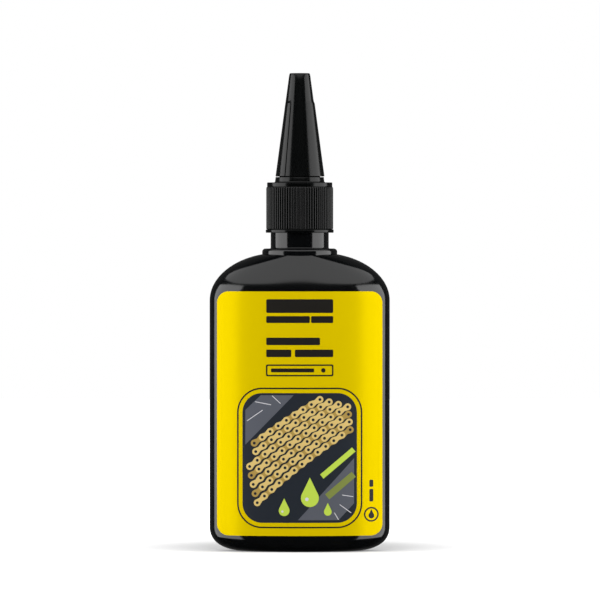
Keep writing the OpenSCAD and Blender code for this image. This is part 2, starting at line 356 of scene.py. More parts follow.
@dataclass(frozen=True)
class GlowingBoardPaintedShadow:
    """Matt white board that glows plain white away from the object, with a painted shadow pool near it.

    It glows plain white past an oval round the object's shadow, to the camera only, and hardly glows
    inside the oval. So the oval shows grey even where no shadow falls: a painted shadow pool round the
    cast shadow. The oval's distances are in metres: near and far say where the fade starts and ends,
    and stretch and shift place it a little behind the object, where the shadow falls.
    """

    name: str = "glowing_board_painted_shadow"
    colour: str = "e6e6e6"
    # Glow left inside the oval, low enough that the oval shows grey as a painted shadow pool.
    pool_glow: float = 0.02
    near: float = 0.03
    far: float = 0.1
    stretch: Point = (1.0, 0.8, 0.0)
    shift: Point = (0.0, -0.035, 0.0)

    def make(self) -> bpy.types.Material:
        """Builds the material.

        Returns:
            The finished material.
        """
        material, tree = new_material(self.name)
        seen = backdrop_rays(tree)
        place = add_node(tree, "ShaderNodeTexCoord").outputs["Object"]
        spot = {0: place, 1: self.stretch, 2: self.shift}
        oval = add_node(tree, "ShaderNodeVectorMath", spot, operation="MULTIPLY_ADD").outputs[0]
        away = add_node(tree, "ShaderNodeVectorMath", {0: oval}, operation="LENGTH")
        # Painted shadow: near the object the glow falls almost to nothing, so the board shows grey
        # there even where no shadow falls.
        own = add_node(
            tree,
            "ShaderNodeMapRange",
            {
                "Value": away.outputs["Value"],
                "From Min": self.near,
                "From Max": self.far,
                "To Min": self.pool_glow,
                "To Max": 1.0,
            },
        )
        shown = {0: seen, 1: own.outputs["Result"]}
        strength = add_node(tree, "ShaderNodeMath", shown, operation="MULTIPLY")
        board = add_node(tree, "ShaderNodeBsdfDiffuse", {"Color": linear(self.colour)})
        glow = add_node(tree, "ShaderNodeEmission", {"Strength": strength.outputs[0]})
        both = add_node(
            tree, "ShaderNodeAddShader", {0: board.outputs["BSDF"], 1: glow.outputs["Emission"]}
        )
        add_node(tree, "ShaderNodeOutputMaterial", {"Surface": both.outputs["Shader"]})
        return material


@dataclass(frozen=True)
class BlackCloth:
    """Black studio cloth in reflections: darkest behind the camera, dim grey behind the set."""

    name: str = "black_studio_cloth"
    front: float = 0.003
    back: float = 0.06
    front_y: float = 0.3
    back_y: float = 1.2

    def make(self) -> bpy.types.Material:
        """Builds the material.

        Returns:
            The finished material.
        """
        material, tree = new_material(self.name)
        place = add_node(tree, "ShaderNodeTexCoord").outputs["Object"]
        depth = add_node(tree, "ShaderNodeSeparateXYZ", {"Vector": place}).outputs["Y"]
        shade = add_node(
            tree,
            "ShaderNodeMapRange",
            {
                "Value": depth,
                "From Min": self.front_y,
                "From Max": self.back_y,
                "To Min": self.front,
                "To Max": self.back,
            },
        )
        cloth = add_node(tree, "ShaderNodeEmission", {"Strength": shade.outputs["Result"]})
        add_node(tree, "ShaderNodeOutputMaterial", {"Surface": cloth.outputs["Emission"]})
        return material


@dataclass(frozen=True)
class SoftboxFace:
    """White diffuser cloth lit from behind: an even glow with no texture of its own."""

    glow: float
    name: str = "diffuser_cloth"

    def make(self) -> bpy.types.Material:
        """Builds the material.

        Returns:
            The finished material.
        """
        material, tree = new_material(self.name)
        cloth = add_node(tree, "ShaderNodeEmission", {"Strength": self.glow})
        add_node(tree, "ShaderNodeOutputMaterial", {"Surface": cloth.outputs["Emission"]})
        return material


@dataclass
class Palette:
    """Every finish of the object, made once."""

    bottle: bpy.types.Material = field(init=False)
    closure: bpy.types.Material = field(init=False)
    label: bpy.types.Material = field(init=False)
    inks: dict[Ink, bpy.types.Material] = field(init=False)

    def __post_init__(self) -> None:
        """Makes the materials."""
        # Blow-moulded polyethylene: a deep black with a wet gloss, whose reflections bend a
        # little over soft waves, and a fine parting line up each side.
        self.bottle = MouldedPlastic(
            name="blow_moulded_polyethylene",
            colour="08090a",
            roughness=0.1,
            ior=1.54,
            specular=0.5,
            wave_mm=9.0,
            wave_depth_mm=0.012,
            grain_mm=0.6,
            parting_line=True,
        ).make()
        # Injection-moulded polypropylene: the same black with a tighter, duller skin, so the
        # lights lie on it as even grey strips with soft edges.
        self.closure = MouldedPlastic(
            name="injection_moulded_polypropylene",
            colour="050606",
            roughness=0.17,
            ior=1.47,
            specular=0.32,
            wave_mm=5.0,
            wave_depth_mm=0.003,
            grain_mm=0.3,
        ).make()
        # Varnished label film: a flat strong yellow that turns paler where it faces a light, as
        # a satin print with a trace of pearl does.
        self.label = PrintedFilm(
            name="varnished_label_film",
            colour="e2c600",
            roughness=0.27,
            specular=0.0,
            metallic=0.13,
        ).make()
        # Printing inks: dense and satin, each a flat field of one colour that hides the film.
        self.inks = {
            ink: PrintedFilm(
                name=f"{ink.name.lower()}_printing_ink",
                colour=ink.value,
                roughness=0.35,
                specular=0.15,
                metallic=0.0,
            ).make()
            for ink in Ink
        }


def new_object(
    name: str, points: Sequence[Point], faces: Iterable[Sequence[int]]
) -> bpy.types.Object:
    """Makes a mesh object from points in millimetres.

    Args:
        name: The object's name.
        points: Corners in millimetres.
        faces: Corner numbers of each face, counter-clockwise from outside.

    Returns:
        The object, linked to the scene.
    """
    mesh = bpy.data.meshes.new(name)
    mesh.from_pydata([(x * MM, y * MM, z * MM) for x, y, z in points], [], list(faces))
    mesh.validate()
    made = bpy.data.objects.new(name, mesh)
    bpy.context.scene.collection.objects.link(made)
    return made


def settle(obj: bpy.types.Object) -> bpy.types.Object:
    """Applies every modifier of an object and drops them.

    Args:
        obj: The object with live modifiers.

    Returns:
        The same object, with a plain mesh.
    """
    graph = bpy.context.evaluated_depsgraph_get()
    mesh = bpy.data.meshes.new_from_object(obj.evaluated_get(graph))
    obj.modifiers.clear()
    obj.data = mesh
    return obj


def combine(base: bpy.types.Object, other: bpy.types.Object, way: Join) -> bpy.types.Object:
    """Joins or cuts a closed mesh with another, which is used up.

    Args:
        base: The mesh that stays.
        other: The other mesh.
        way: Whether it is added or cut away.

    Returns:
        The base object with the result.
    """
    step = base.modifiers.new("combine", "BOOLEAN")
    step.operation = way.value
    step.solver = "MANIFOLD"
    step.object = other
    settle(base)
    bpy.data.objects.remove(other)
    return base


def smooth(obj: bpy.types.Object, angle: float = 32.0) -> None:
    """Shades an object smooth, with edges sharper than an angle kept crisp.

    Args:
        obj: The object with a plain mesh.
        angle: The angle in degrees.
    """
    mesh = obj.data
    work = bmesh.new()
    work.from_mesh(mesh)
    bmesh.ops.remove_doubles(work, verts=work.verts, dist=WELD)
    bmesh.ops.dissolve_degenerate(work, edges=work.edges, dist=SLIVER)
    limit = math.radians(angle)
    for edge in work.edges:
        edge.smooth = len(edge.link_faces) == 2 and edge.calc_face_angle(0.0) < limit
    for face in work.faces:
        face.smooth = True
    work.to_mesh(mesh)
    work.free()


def dress(obj: bpy.types.Object, material: bpy.types.Material) -> None:
    """Gives a piece its only material.

    Args:
        obj: The piece.
        material: Its finish.
    """
    obj.data.materials.clear()
    obj.data.materials.append(material)


def ring_faces(rings: int, count: int, closed: bool = False) -> list[tuple[int, ...]]:
    """Quads between rings of points, counter-clockwise from outside.

    Args:
        rings: Number of rings.
        count: Points in a ring.
        closed: Whether the last ring joins the first.

    Returns:
        The faces.
    """
    faces = []
    for i in range(rings if closed else rings - 1):
        low, high = i * count, (i + 1) % rings * count
        for j in range(count):
            k = (j + 1) % count
            faces.append((low + j, low + k, high + k, high + j))
    return faces


def add_poles(
    points: list[Point], faces: list[tuple[int, ...]], rings: int, count: int, ends: Flat
) -> None:
    """Closes the first and the last ring with a fan round a point on the axis.

    Args:
        points: Points of the rings, which gain the two end points.
        faces: Faces of the mesh, which gain the fans.
        rings: Number of rings.
        count: Points in a ring.
        ends: Heights of the lower and the upper end point.
    """
    first, last = len(points), len(points) + 1
    points += [(0.0, 0.0, ends[0]), (0.0, 0.0, ends[1])]
    top = (rings - 1) * count
    for j in range(count):
        k = (j + 1) % count
        faces.append((first, k, j))
        faces.append((last, top + j, top + k))


def revolve(name: str, profile: Sequence[Flat], segments: int = 192) -> bpy.types.Object:
    """Turns a profile of radius and height round the Z axis into a closed mesh.

    Args:
        name: The object's name.
        profile: Points as (radius, height) that start and end on the axis, or a closed loop.
        segments: Points in a turn.

    Returns:
        The object.
    """
    closed = profile[0][0] > 0
    inner = list(profile) if closed else list(profile[1:-1])
    points = [
        (r * math.cos(a), r * math.sin(a), z)
        for r, z in inner
        for a in (math.tau * j / segments for j in range(segments))
    ]
    faces = ring_faces(len(inner), segments, closed)
    if not closed:
        add_poles(points, faces, len(inner), segments, (profile[0][1], profile[-1][1]))
    return new_object(name, points, faces)


def arc(cx: float, cy: float, r: float, start: float, end: float, steps: int = 6) -> list[Flat]:
    """Points along an arc.

    Args:
        cx: Centre across.
        cy: Centre up.
        r: Radius.
        start: First angle in degrees.
        end: Last angle in degrees.
        steps: Number of stretches.

    Returns:
        The points.
    """
    angles = (math.radians(start + (end - start) * i / steps) for i in range(steps + 1))
    return [(cx + r * math.cos(a), cy + r * math.sin(a)) for a in angles]


class Weave:
    """Small Geometry Nodes trees with named inputs, turned into plain meshes."""

    def __init__(self, name: str) -> None:
        """Starts a tree.

        Args:
            name: The tree's name.
        """
        self.tree = bpy.data.node_groups.new(name, "GeometryNodeTree")
        self.ids: dict[str, str] = {}
        self._socket("Geometry", "NodeSocketGeometry")
        self.tree.interface.new_socket("Geometry", in_out="OUTPUT", socket_type="NodeSocketGeometry")
        self.source = self.tree.nodes.new("NodeGroupInput")

    def _socket(self, name: str, kind: str) -> None:
        """Adds a named input of a socket kind to the tree."""
        item = self.tree.interface.new_socket(name, in_out="INPUT", socket_type=kind)
        self.ids[name] = item.identifier

    def number(self, name: str, whole: bool = False) -> bpy.types.NodeSocket:
        """Adds a number input.

        Args:
            name: The input's name.
            whole: Whether it is a whole number.

        Returns:
            The socket that carries it inside the tree.
        """
        self._socket(name, "NodeSocketInt" if whole else "NodeSocketFloat")
        return self.source.outputs[name]

    def add(
        self, kind: str, inputs: dict[str | int, Any] | None = None, **settings: Any
    ) -> bpy.types.Node:
        """Adds a node to the tree, as add_node does."""
        return add_node(self.tree, kind, inputs, **settings)

    def math(self, operation: str, first: Any, second: Any = 0.0) -> bpy.types.NodeSocket:
        """Adds a sum of two numbers or sockets and returns its result."""
        return self.add("ShaderNodeMath", {0: first, 1: second}, operation=operation).outputs[0]

    def close(self, geometry: bpy.types.NodeSocket, material: bpy.types.Material) -> None:
        """Ends the tree in Realize Instances and Set Material.

        Args:
            geometry: The last geometry socket.
            material: The piece's finish.
        """
        real = self.add("GeometryNodeRealizeInstances", {"Geometry": geometry})
        done = self.add(
            "GeometryNodeSetMaterial", {"Geometry": real.outputs["Geometry"], "Material": material}
        )
        self.add("NodeGroupOutput", {"Geometry": done.outputs["Geometry"]})

    def grow(self, obj: bpy.types.Object, values: dict[str, float]) -> bpy.types.Object:
        """Runs the tree on an object and keeps the plain result.

        Args:
            obj: The object whose mesh enters the tree.
            values: Input values by name.

        Returns:
            The same object with the finished mesh.
        """
        step = obj.modifiers.new(self.tree.name, "NODES")
        step.node_group = self.tree
        for name, value in values.items():
            step[self.ids[name]] = value
        return settle(obj)


def turn_copies(name: str, material: bpy.types.Material) -> Weave:
    """Tree that repeats a sector round the Z axis and welds the copies.

    Args:
        name: The tree's name.
        material: The piece's finish.

    Returns:
        The tree, with the inputs Count and Weld.
    """
    weave = Weave(name)
    count = weave.number("Count", whole=True)
    weld = weave.number("Weld")
    spots = weave.add("GeometryNodePoints", {"Count": count})
    index = weave.add("GeometryNodeInputIndex").outputs[0]
    angle = weave.math("DIVIDE", weave.math("MULTIPLY", index, math.tau), count)
    turn = weave.add("ShaderNodeCombineXYZ", {"Z": angle})
    copies = weave.add(
        "GeometryNodeInstanceOnPoints",
        {
            "Points": spots.outputs["Points"],
            "Instance": weave.source.outputs["Geometry"],
            "Rotation": turn.outputs["Vector"],
        },
    )
    real = weave.add("GeometryNodeRealizeInstances", {"Geometry": copies.outputs["Instances"]})
    welded = weave.add(
        "GeometryNodeMergeByDistance", {"Geometry": real.outputs["Geometry"], "Distance": weld}
    )
    weave.close(welded.outputs["Geometry"], material)
    return weave


def screw_thread(name: str, material: bpy.types.Material) -> Weave:
    """Tree that sweeps a thread's section along a helix and fades it out at both ends.

    Args:
        name: The tree's name.
        material: The piece's finish.

    Returns:
        The tree, with the inputs Turns, Radius, Pitch, Width, Depth, Side and Steps.
    """
    weave = Weave(name)
    turns = weave.number("Turns")
    radius = weave.number("Radius")
    pitch = weave.number("Pitch")
    width = weave.number("Width")
    depth = weave.number("Depth")
    side = weave.number("Side")
    steps = weave.number("Steps", whole=True)
    # Width of the crest, length of the fade at each end, and size left there, all as shares.
    crest_share, fade_share, tip_share = 0.42, 0.08, 0.3
    helix = weave.add(
        "GeometryNodeCurveSpiral",
        {
            "Resolution": steps,
            "Rotations": turns,
            "Start Radius": radius,
            "End Radius": radius,
            "Height": weave.math("MULTIPLY", turns, pitch),
            "Reverse": True,
        },
    )
    upright = weave.add(
        "GeometryNodeSetCurveNormal", {"Curve": helix.outputs["Curve"]}, mode="Z_UP"
    )
    along = weave.add("GeometryNodeSplineParameter").outputs["Factor"]
    near = weave.math("MINIMUM", along, weave.math("SUBTRACT", 1.0, along))
    fade = weave.add(
        "ShaderNodeMapRange",
        {"Value": near, "From Max": fade_share, "To Min": tip_share, "To Max": 1.0},
        interpolation_type="SMOOTHSTEP",
    )
    section = weave.add(
        "GeometryNodeCurvePrimitiveQuadrilateral",
        {
            "Bottom Width": width,
            "Top Width": weave.math("MULTIPLY", width, crest_share),
            "Height": depth,
            "Offset": 0.0,
        },
        mode="TRAPEZOID",
    )
    out = weave.math("MULTIPLY", weave.math("MULTIPLY", depth, 0.5), side)
    place = weave.add("ShaderNodeCombineXYZ", {"X": out})
    turn = weave.add("ShaderNodeCombineXYZ", {"Z": weave.math("MULTIPLY", side, -math.pi / 2)})
    turned = weave.add(
        "GeometryNodeTransform",
        {
            "Geometry": section.outputs["Curve"],
            "Translation": place.outputs["Vector"],
            "Rotation": turn.outputs["Vector"],
        },
    )
    swept = weave.add(
        "GeometryNodeCurveToMesh",
        {
            "Curve": upright.outputs["Curve"],
            "Profile Curve": turned.outputs["Geometry"],
            "Scale": fade.outputs["Result"],
            "Fill Caps": True,
        },
    )
    weave.close(swept.outputs["Mesh"], material)
    return weave


@dataclass(frozen=True)
class Thread:
    """A screw thread of the closure, in millimetres: the neck's points out, the collar's in."""

    root_r: float
    start_z: float
    points_out: bool
    pitch: float = 3.175
    turns: float = 2.5
    width: float = 1.9
    height: float = 0.85
    sink: float = 0.3
    steps: int = 56

    def build(self, name: str, material: bpy.types.Material) -> bpy.types.Object:
        """Builds the thread as a closed mesh that reaches into its wall.

        Args:
            name: The object's name.
            material: The wall's finish.

        Returns:
            The thread, to be joined with its wall.
        """
        side = 1.0 if self.points_out else -1.0
        piece = new_object(name, [(0.0, 0.0, 0.0)], [])
        screw_thread(f"{name}_helix", material).grow(
            piece,
            {
                "Turns": self.turns,
                "Radius": (self.root_r - side * self.sink) * MM,
                "Pitch": self.pitch * MM,
                "Width": self.width * MM,
                "Depth": (self.height + self.sink) * MM,
                "Side": side,
                "Steps": self.steps,
            },
        )
        work = bmesh.new()
        work.from_mesh(piece.data)
        bmesh.ops.translate(work, verts=work.verts, vec=(0.0, 0.0, self.start_z * MM))
        bmesh.ops.recalc_face_normals(work, faces=work.faces)
        work.to_mesh(piece.data)
        work.free()
        return piece


@dataclass
class OvalBody:
    """Form of the blow-moulded bottle, in millimetres, as the frame has it."""

    half_w: float = 30.25
    half_d: float = 15.4
    wall: float = 1.0
    floor: float = 1.2
    push_up: float = 1.0
    heel_h: float = 8.4
    heel_face_h: float = 5.0
    heel_in_w: float = 13.4
    heel_in_d: float = 4.4
    heel_curve: float = 2.4
    foot_rim: float = 3.0
    shoulder_z: float = 84.2
    shoulder_h: float = 16.0
    shoulder_face_up: float = 3.4
    shoulder_face_curve: float = 1.2
    shoulder_turn: float = 2.4
    crown_w: float = 6.7
    crown_d: float = 11.85
    side_rows: int = 12
    least_step: float = 0.004

    @property
    def crown_z(self) -> float:
        """Height where the shoulder's curve ends."""
        return self.shoulder_z + self.shoulder_h

    def heel_share(self, z: float, h: float) -> float:
        """How much of the heel's draw is regained at a height.

        Args:
            z: Height over the floor that the heel starts from.
            h: Height of the heel.

        Returns:
            0 at the foot and 1 past the heel.
        """
        if z >= h:
            return 1.0
        return (1 - (1 - max(z, 0.0) / h) ** self.heel_curve) ** (1 / self.heel_curve)

    def shoulder_share(self, z: float, start: float, h: float, curve: float = 2.0) -> float:
        """How much of the shoulder's reach is left at a height.

        Args:
            z: Height.
            start: Height where the shoulder starts.
            h: Height of the shoulder.
            curve: Fullness of its curve, where 2 is an ellipse.

        Returns:
            1 up to the start and 0 at the crown.
        """
        if z <= start:
            return 1.0
        return max(0.0, 1 - ((z - start) / h) ** curve) ** (1 / curve)

    def half_sizes(self, z: float, inset: float = 0.0, base: float = 0.0) -> Flat:
        """Half width and half depth of the oval at a height.

        Args:
            z: Height.
            inset: Wall that the oval stays in from the outside.
            base: Height of the floor that the heel starts from.

        Returns:
            Half width and half depth.
        """
        if z < self.shoulder_z:
            low_w = self.heel_share(z - base, self.heel_h - base)
            low_d = self.heel_share(z - base, self.heel_face_h - base)
            return (
                self.half_w - inset - self.heel_in_w * (1 - low_w),
                self.half_d - inset - self.heel_in_d * (1 - low_d),
            )
        face_z = self.shoulder_z + self.shoulder_face_up
        high_w = self.shoulder_share(z, self.shoulder_z, self.shoulder_h - inset)
        high_d = self.shoulder_share(
            z, face_z, self.crown_z - face_z - inset, self.shoulder_face_curve
        )
        return (
            self.crown_w + (self.half_w - inset - self.crown_w) * high_w,
            self.crown_d - inset + (self.half_d - self.crown_d) * high_d,
        )

    def heights(self, fine: int, inset: float = 0.0, base: float = 0.0) -> list[float]:
        """Ring heights, close together where the form curves.

        Args:
            fine: Rings along each curve.
            inset: Wall that the oval stays in from the outside.
            base: Height of the floor.

        Returns:
            Rising heights.
        """
        quarter = [math.pi / 2 * i / fine for i in range(fine + 1)]
        power = 2 / self.heel_curve
        low = {base + (self.heel_h - base) * (1 - math.cos(q) ** power) for q in quarter[:-1]}
        low |= {base + (self.heel_face_h - base) * (1 - math.cos(q) ** power) for q in quarter}
        step = (self.shoulder_z - self.heel_h) / self.side_rows
        mid = {self.heel_h + step * i for i in range(self.side_rows + 1)}
        high = {self.shoulder_z + (self.shoulder_h - inset) * math.sin(q) for q in quarter}
        face_z = self.shoulder_z + self.shoulder_face_up
        high |= {face_z + self.shoulder_turn * (i / fine) ** 2 for i in range(fine)}
        made: list[float] = []
        for z in sorted(low | mid | high):
            if not made or z - made[-1] > self.least_step:
                made.append(z)
        return made

    def oval(self, a: float, b: float, z: float, count: int) -> list[Point]:
        """Points of an oval at a height, counter-clockwise from above.

        Args:
            a: Half width.
            b: Half depth.
            z: Height.
            count: Number of points.

        Returns:
            The points.
        """
        turns = (math.tau * j / count for j in range(count))
        return [(a * math.cos(t), b * math.sin(t), z) for t in turns]

    def loft(self, name: str, sections: Sequence[Point], count: int) -> bpy.types.Object:
        """Closed mesh through ovals.

        Args:
            name: The object's name.
            sections: Ovals as (half width, half depth, height), the ends closed by fans.
            count: Points round an oval.

        Returns:
            The object.
        """
        points = [p for a, b, z in sections for p in self.oval(a, b, z, count)]
        faces = ring_faces(len(sections), count)
        add_poles(points, faces, len(sections), count, (sections[0][2], sections[-1][2]))
        return new_object(name, points, faces)

    def front(self, x: float, z: float, off: float) -> Point:
        """Point on the front of the body, at a distance off its surface.

        Args:
            x: Place across, as seen from the front.
            z: Height.
            off: Distance off the surface.

        Returns:
            The point.
        """
        a, b = self.half_sizes(z)
        share = min(1.0, abs(x) / (a + off))
        return (x, -(b + off) * math.sqrt(1 - share * share), z)


@dataclass
class Bottle:
    """The moulded bottle: oval shell, neck ring, bead, thread and recessed foot."""

    form: OvalBody
    palette: Palette
    neck_r: float = 9.75
    thread_h: float = 0.9
    neck_wall: float = 1.45
    ring_out: float = 2.85
    ring_t: float = 2.4
    ring_sink: float = 1.0
    ring_round: float = 1.1
    ring_fillet: float = 0.4
    neck_bare: float = 5.3
    bead_up: float = 1.1
    mouth_z: float = 121.6
    thread_z: float = 111.0
    foot_lip: float = 0.35
    edge: float = 0.3
    bore_low: float = 8.0
    around: int = 256
    fine: int = 34

    @property
    def ring_z(self) -> float:
        """Height of the neck ring's underside."""
        return self.form.crown_z - self.ring_sink

    def outside(self) -> bpy.types.Object:
        """Outer skin of the body with the recess in its foot.

        Returns:
            The skin as a closed mesh.
        """
        form = self.form
        foot_w, foot_d = form.half_sizes(0.0)
        rim_w, rim_d = foot_w - form.foot_rim, foot_d - form.foot_rim
        lip = self.foot_lip
        # The raised middle of the foot, then its soft edge down to the rim that it stands on.
        sections = [
            (rim_w - lip, rim_d - lip, form.push_up),
            (rim_w - lip * 0.4, rim_d - lip * 0.4, form.push_up - lip * 0.3),
            (rim_w, rim_d, lip),
            (rim_w + lip * 0.3, rim_d + lip * 0.3, lip * 0.25),
            (rim_w + lip, rim_d + lip, 0.0),
        ]
        sections += [(*form.half_sizes(z), z) for z in form.heights(self.fine)]
        return form.loft("bottle_shell", sections, self.around)

    def hollow(self) -> bpy.types.Object:
        """Inner skin of the body.

        Returns:
            The hollow as a closed mesh.
        """
        form = self.form
        base = form.push_up + form.floor
        heights = form.heights(self.fine // 2, form.wall, base)
        sections = [(*form.half_sizes(z, form.wall, base), z) for z in heights]
        return form.loft("bottle_hollow", sections, self.around // 2)

    def neck(self) -> bpy.types.Object:
        """Neck with its ring and bead.

        Returns:
            The neck as a closed mesh.
        """
        ring_r = self.neck_r + self.ring_out
        top = self.ring_z + self.ring_t
        bead_top = top + self.neck_bare + self.bead_up
        root = self.neck_r - self.thread_h
        r, edge, fillet = self.ring_round, self.edge, self.ring_fillet
        profile = [(0.0, self.ring_z)]
        profile += arc(ring_r - edge, self.ring_z + edge, edge, -90, 0, 4)
        profile += arc(ring_r - r, top - r, r, 0, 90, 8)
        profile += arc(self.neck_r + fillet, top + fillet, fillet, 270, 180, 6)
        profile += [(self.neck_r, bead_top), (root, bead_top + self.thread_h)]
        profile += arc(root - edge, self.mouth_z - edge, edge, 0, 90, 4)
        profile += [(0.0, self.mouth_z)]
        return revolve("bottle_neck", profile)

    def build(self) -> bpy.types.Object:
        """Builds the bottle.

        Returns:
            The finished piece.
        """
        shell = combine(self.outside(), self.neck(), Join.ADD)
        combine(shell, self.hollow(), Join.CUT)
        bore = self.neck_r - self.thread_h - self.neck_wall
        low, high = self.form.shoulder_z + self.bore_low, self.mouth_z + 1
        cut = revolve("bottle_bore", [(0.0, low), (bore, low), (bore, high), (0.0, high)])
        combine(shell, cut, Join.CUT)
        thread = Thread(self.neck_r - self.thread_h, self.thread_z, points_out=True)
        combine(shell, thread.build("neck_thread", self.palette.bottle), Join.ADD)
        smooth(shell)
        dress(shell, self.palette.bottle)
        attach(shell, Body.BOTTLE.value)
        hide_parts("bottle")
        return shell


@dataclass
class Collar:
    """The ribbed screw collar with a plain band above and below its ribs."""

    palette: Palette
    low_z: float = 106.9
    rib_z: float = 108.0
    band_z: float = 122.4
    top_z: float = 123.8
    bore_r: float = 9.95
    groove_r: float = 10.85
    rib_depth: float = 0.4
    base_r: float = 11.4
    band_r: float = 10.95
    hole_r: float = 9.0
    roof_t: float = 1.2
    edge: float = 0.25
    lead_in: float = 0.3
    rib_gap: float = 0.02
    rib_foot: float = 0.315
    rib_head: float = 0.9
    rib_rows: int = 6
    ribs: int = 78
    crest_steps: int = 8
    crest_share: float = 0.92
    thread_z: float = 109.4125

    def columns(self) -> list[Flat]:
        """Columns across one rib: a round crest and a groove.

        Returns:
            Each column as its share of the pitch and its share of the rib's height.
        """
        crest = []
        for i in range(self.crest_steps + 1):
            turn = math.pi * i / self.crest_steps
            crest.append((0.5 - self.crest_share / 2 * math.cos(turn), math.sin(turn)))
        return [(0.0, 0.0), *crest, (1.0, 0.0)]

    def profile(self) -> Profile:
        """Section of the collar, up its outside and down its inside.

        Returns:
            A closed loop.
        """
        e, low, high = self.edge, self.rib_z + 2 * self.rib_gap, self.band_z
        loop = [(r, z, 0.0) for r, z in arc(self.base_r - e, self.low_z + e, e, -90, 0, 4)]
        loop += [(r, z, 0.0) for r, z in arc(self.base_r - e, self.rib_z - e, e, 0, 90, 4)]
        loop += [(self.groove_r + self.rib_gap, self.rib_z + self.rib_gap, 0.0)]
        turns = [math.pi / 2 * i / self.rib_rows for i in range(self.rib_rows + 1)]
        for a in turns:
            loop.append((self.groove_r, low + self.rib_foot * (1 - math.cos(a)), math.sin(a)))
        for a in reversed(turns):
            loop.append((self.groove_r, high - self.rib_head * (1 - math.cos(a)), math.sin(a)))
        small = e * 0.4
        loop += [(r, z, 0.0) for r, z in arc(self.band_r - small, high + small, small, -90, 0, 2)]
        loop += [(r, z, 0.0) for r, z in arc(self.band_r - e, self.top_z - e, e, 0, 90, 4)]
        roof = self.top_z - self.roof_t
        inside = [(self.hole_r, self.top_z), (self.hole_r, roof), (self.bore_r, roof)]
        inside += [(self.bore_r, self.low_z + self.lead_in), (self.bore_r + self.lead_in, self.low_z)]
        return loop + [(r, z, 0.0) for r, z in inside]

    def build(self) -> bpy.types.Object:
        """Builds the collar.

        Returns:
            The finished piece.
        """
        loop = self.profile()
        pitch = math.tau / self.ribs
        columns = self.columns()
        points: list[Point] = []
        for share, rise in columns:
            a = pitch * share
            for r, z, add in loop:
                out = r + self.rib_depth * rise * add
                points.append((out * math.cos(a), out * math.sin(a), z))
        n = len(loop)
        faces = []
        for j in range(len(columns) - 1):
            for i in range(n):
                k = (i + 1) % n
                faces.append((j * n + i, (j + 1) * n + i, (j + 1) * n + k, j * n + k))
        piece = new_object("collar_shell", points, faces)
        weave = turn_copies("collar_ribs", self.palette.closure)
        weave.grow(piece, {"Count": self.ribs, "Weld": WELD})
        thread = Thread(self.bore_r, self.thread_z, points_out=False)
        combine(piece, thread.build("collar_thread", self.palette.closure), Join.ADD)
        smooth(piece, angle=40.0)
        dress(piece, self.palette.closure)
        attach(piece, Body.COLLAR.value)
        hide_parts("ribbed_collar")
        return piece


@dataclass
class Spout:
    """The tapered dispensing spout with its flange, plug and visible base."""

    palette: Palette
    flange_z: float = 121.6
    flange_t: float = 1.0
    flange_r: float = 9.75
    plug_h: float = 4.0
    plug_r: float = 7.25
    wall: float = 1.1
    boss_r: float = 8.27
    foot: float = 0.44
    roof_z: float = 123.8
    ledge_z: float = 125.6
    rim_r: float = 8.1
    nozzle_r: float = 6.8
    tip_r: float = 2.3
    tip_z: float = 156.4
    orifice_r: float = 0.85
    orifice_l: float = 3.0
    snap_out: float = 0.12
    snap_up: float = 2.0
    snap_h: float = 1.0
    edge: float = 0.12
    nook: float = 0.1
    plug_lead: Flat = (0.4, 0.8)
    tip_round: float = 0.4
    orifice_edge: float = 0.15
    nozzle_rows: tuple[float, ...] = (135.0, 145.0, 152.0)

    def slope(self, z: float) -> float:
        """Radius of the nozzle at a height.

        Args:
            z: Height.

        Returns:
            The radius.
        """
        share = (z - self.ledge_z) / (self.tip_z - self.ledge_z)
        return self.nozzle_r + (self.tip_r - self.nozzle_r) * share

    def build(self) -> bpy.types.Object:
        """Builds the spout.

        Returns:
            The finished piece.
        """
        foot_r = self.boss_r + self.foot
        low = self.flange_z - self.plug_h
        flange_top = self.flange_z + self.flange_t
        snap_z = self.ledge_z + self.snap_up
        edge, tip, nook, hole = self.edge, self.tip_round, self.nook, self.orifice_edge
        lead_in, lead_up = self.plug_lead
        loop = [(self.plug_r - self.wall, low), (self.plug_r - lead_in, low)]
        loop += [(self.plug_r, low + lead_up)]
        loop += [(self.plug_r, self.flange_z), (self.flange_r, self.flange_z)]
        loop += [(self.flange_r, flange_top), (foot_r, flange_top), (foot_r, self.roof_z)]
        loop += arc(foot_r, self.roof_z + self.foot, self.foot, 270, 180, 6)
        loop += arc(self.rim_r - edge, self.ledge_z - edge, edge, 5, 90, 4)
        loop += [(self.nozzle_r + nook, self.ledge_z), (self.nozzle_r, self.ledge_z + nook)]
        for share in (i / 6 for i in range(7)):
            z = snap_z + self.snap_h * (share - 0.5)
            loop.append((self.slope(z) + self.snap_out * math.sin(math.pi * share), z))
        loop += [(self.slope(z), z) for z in self.nozzle_rows]
        loop += arc(self.tip_r - tip, self.tip_z - tip, tip, 8, 90, 6)
        loop += [(self.orifice_r + hole, self.tip_z), (self.orifice_r, self.tip_z - hole)]
        loop += [(self.orifice_r, self.tip_z - self.orifice_l)]
        loop += [(self.nozzle_r - self.wall, self.ledge_z)]
        loop += [(self.plug_r - self.wall, self.flange_z)]
        piece = revolve("spout_shell", loop, 160)
        smooth(piece)
        dress(piece, self.palette.closure)
        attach(piece, Body.SPOUT.value)
        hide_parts("spout")
        return piece


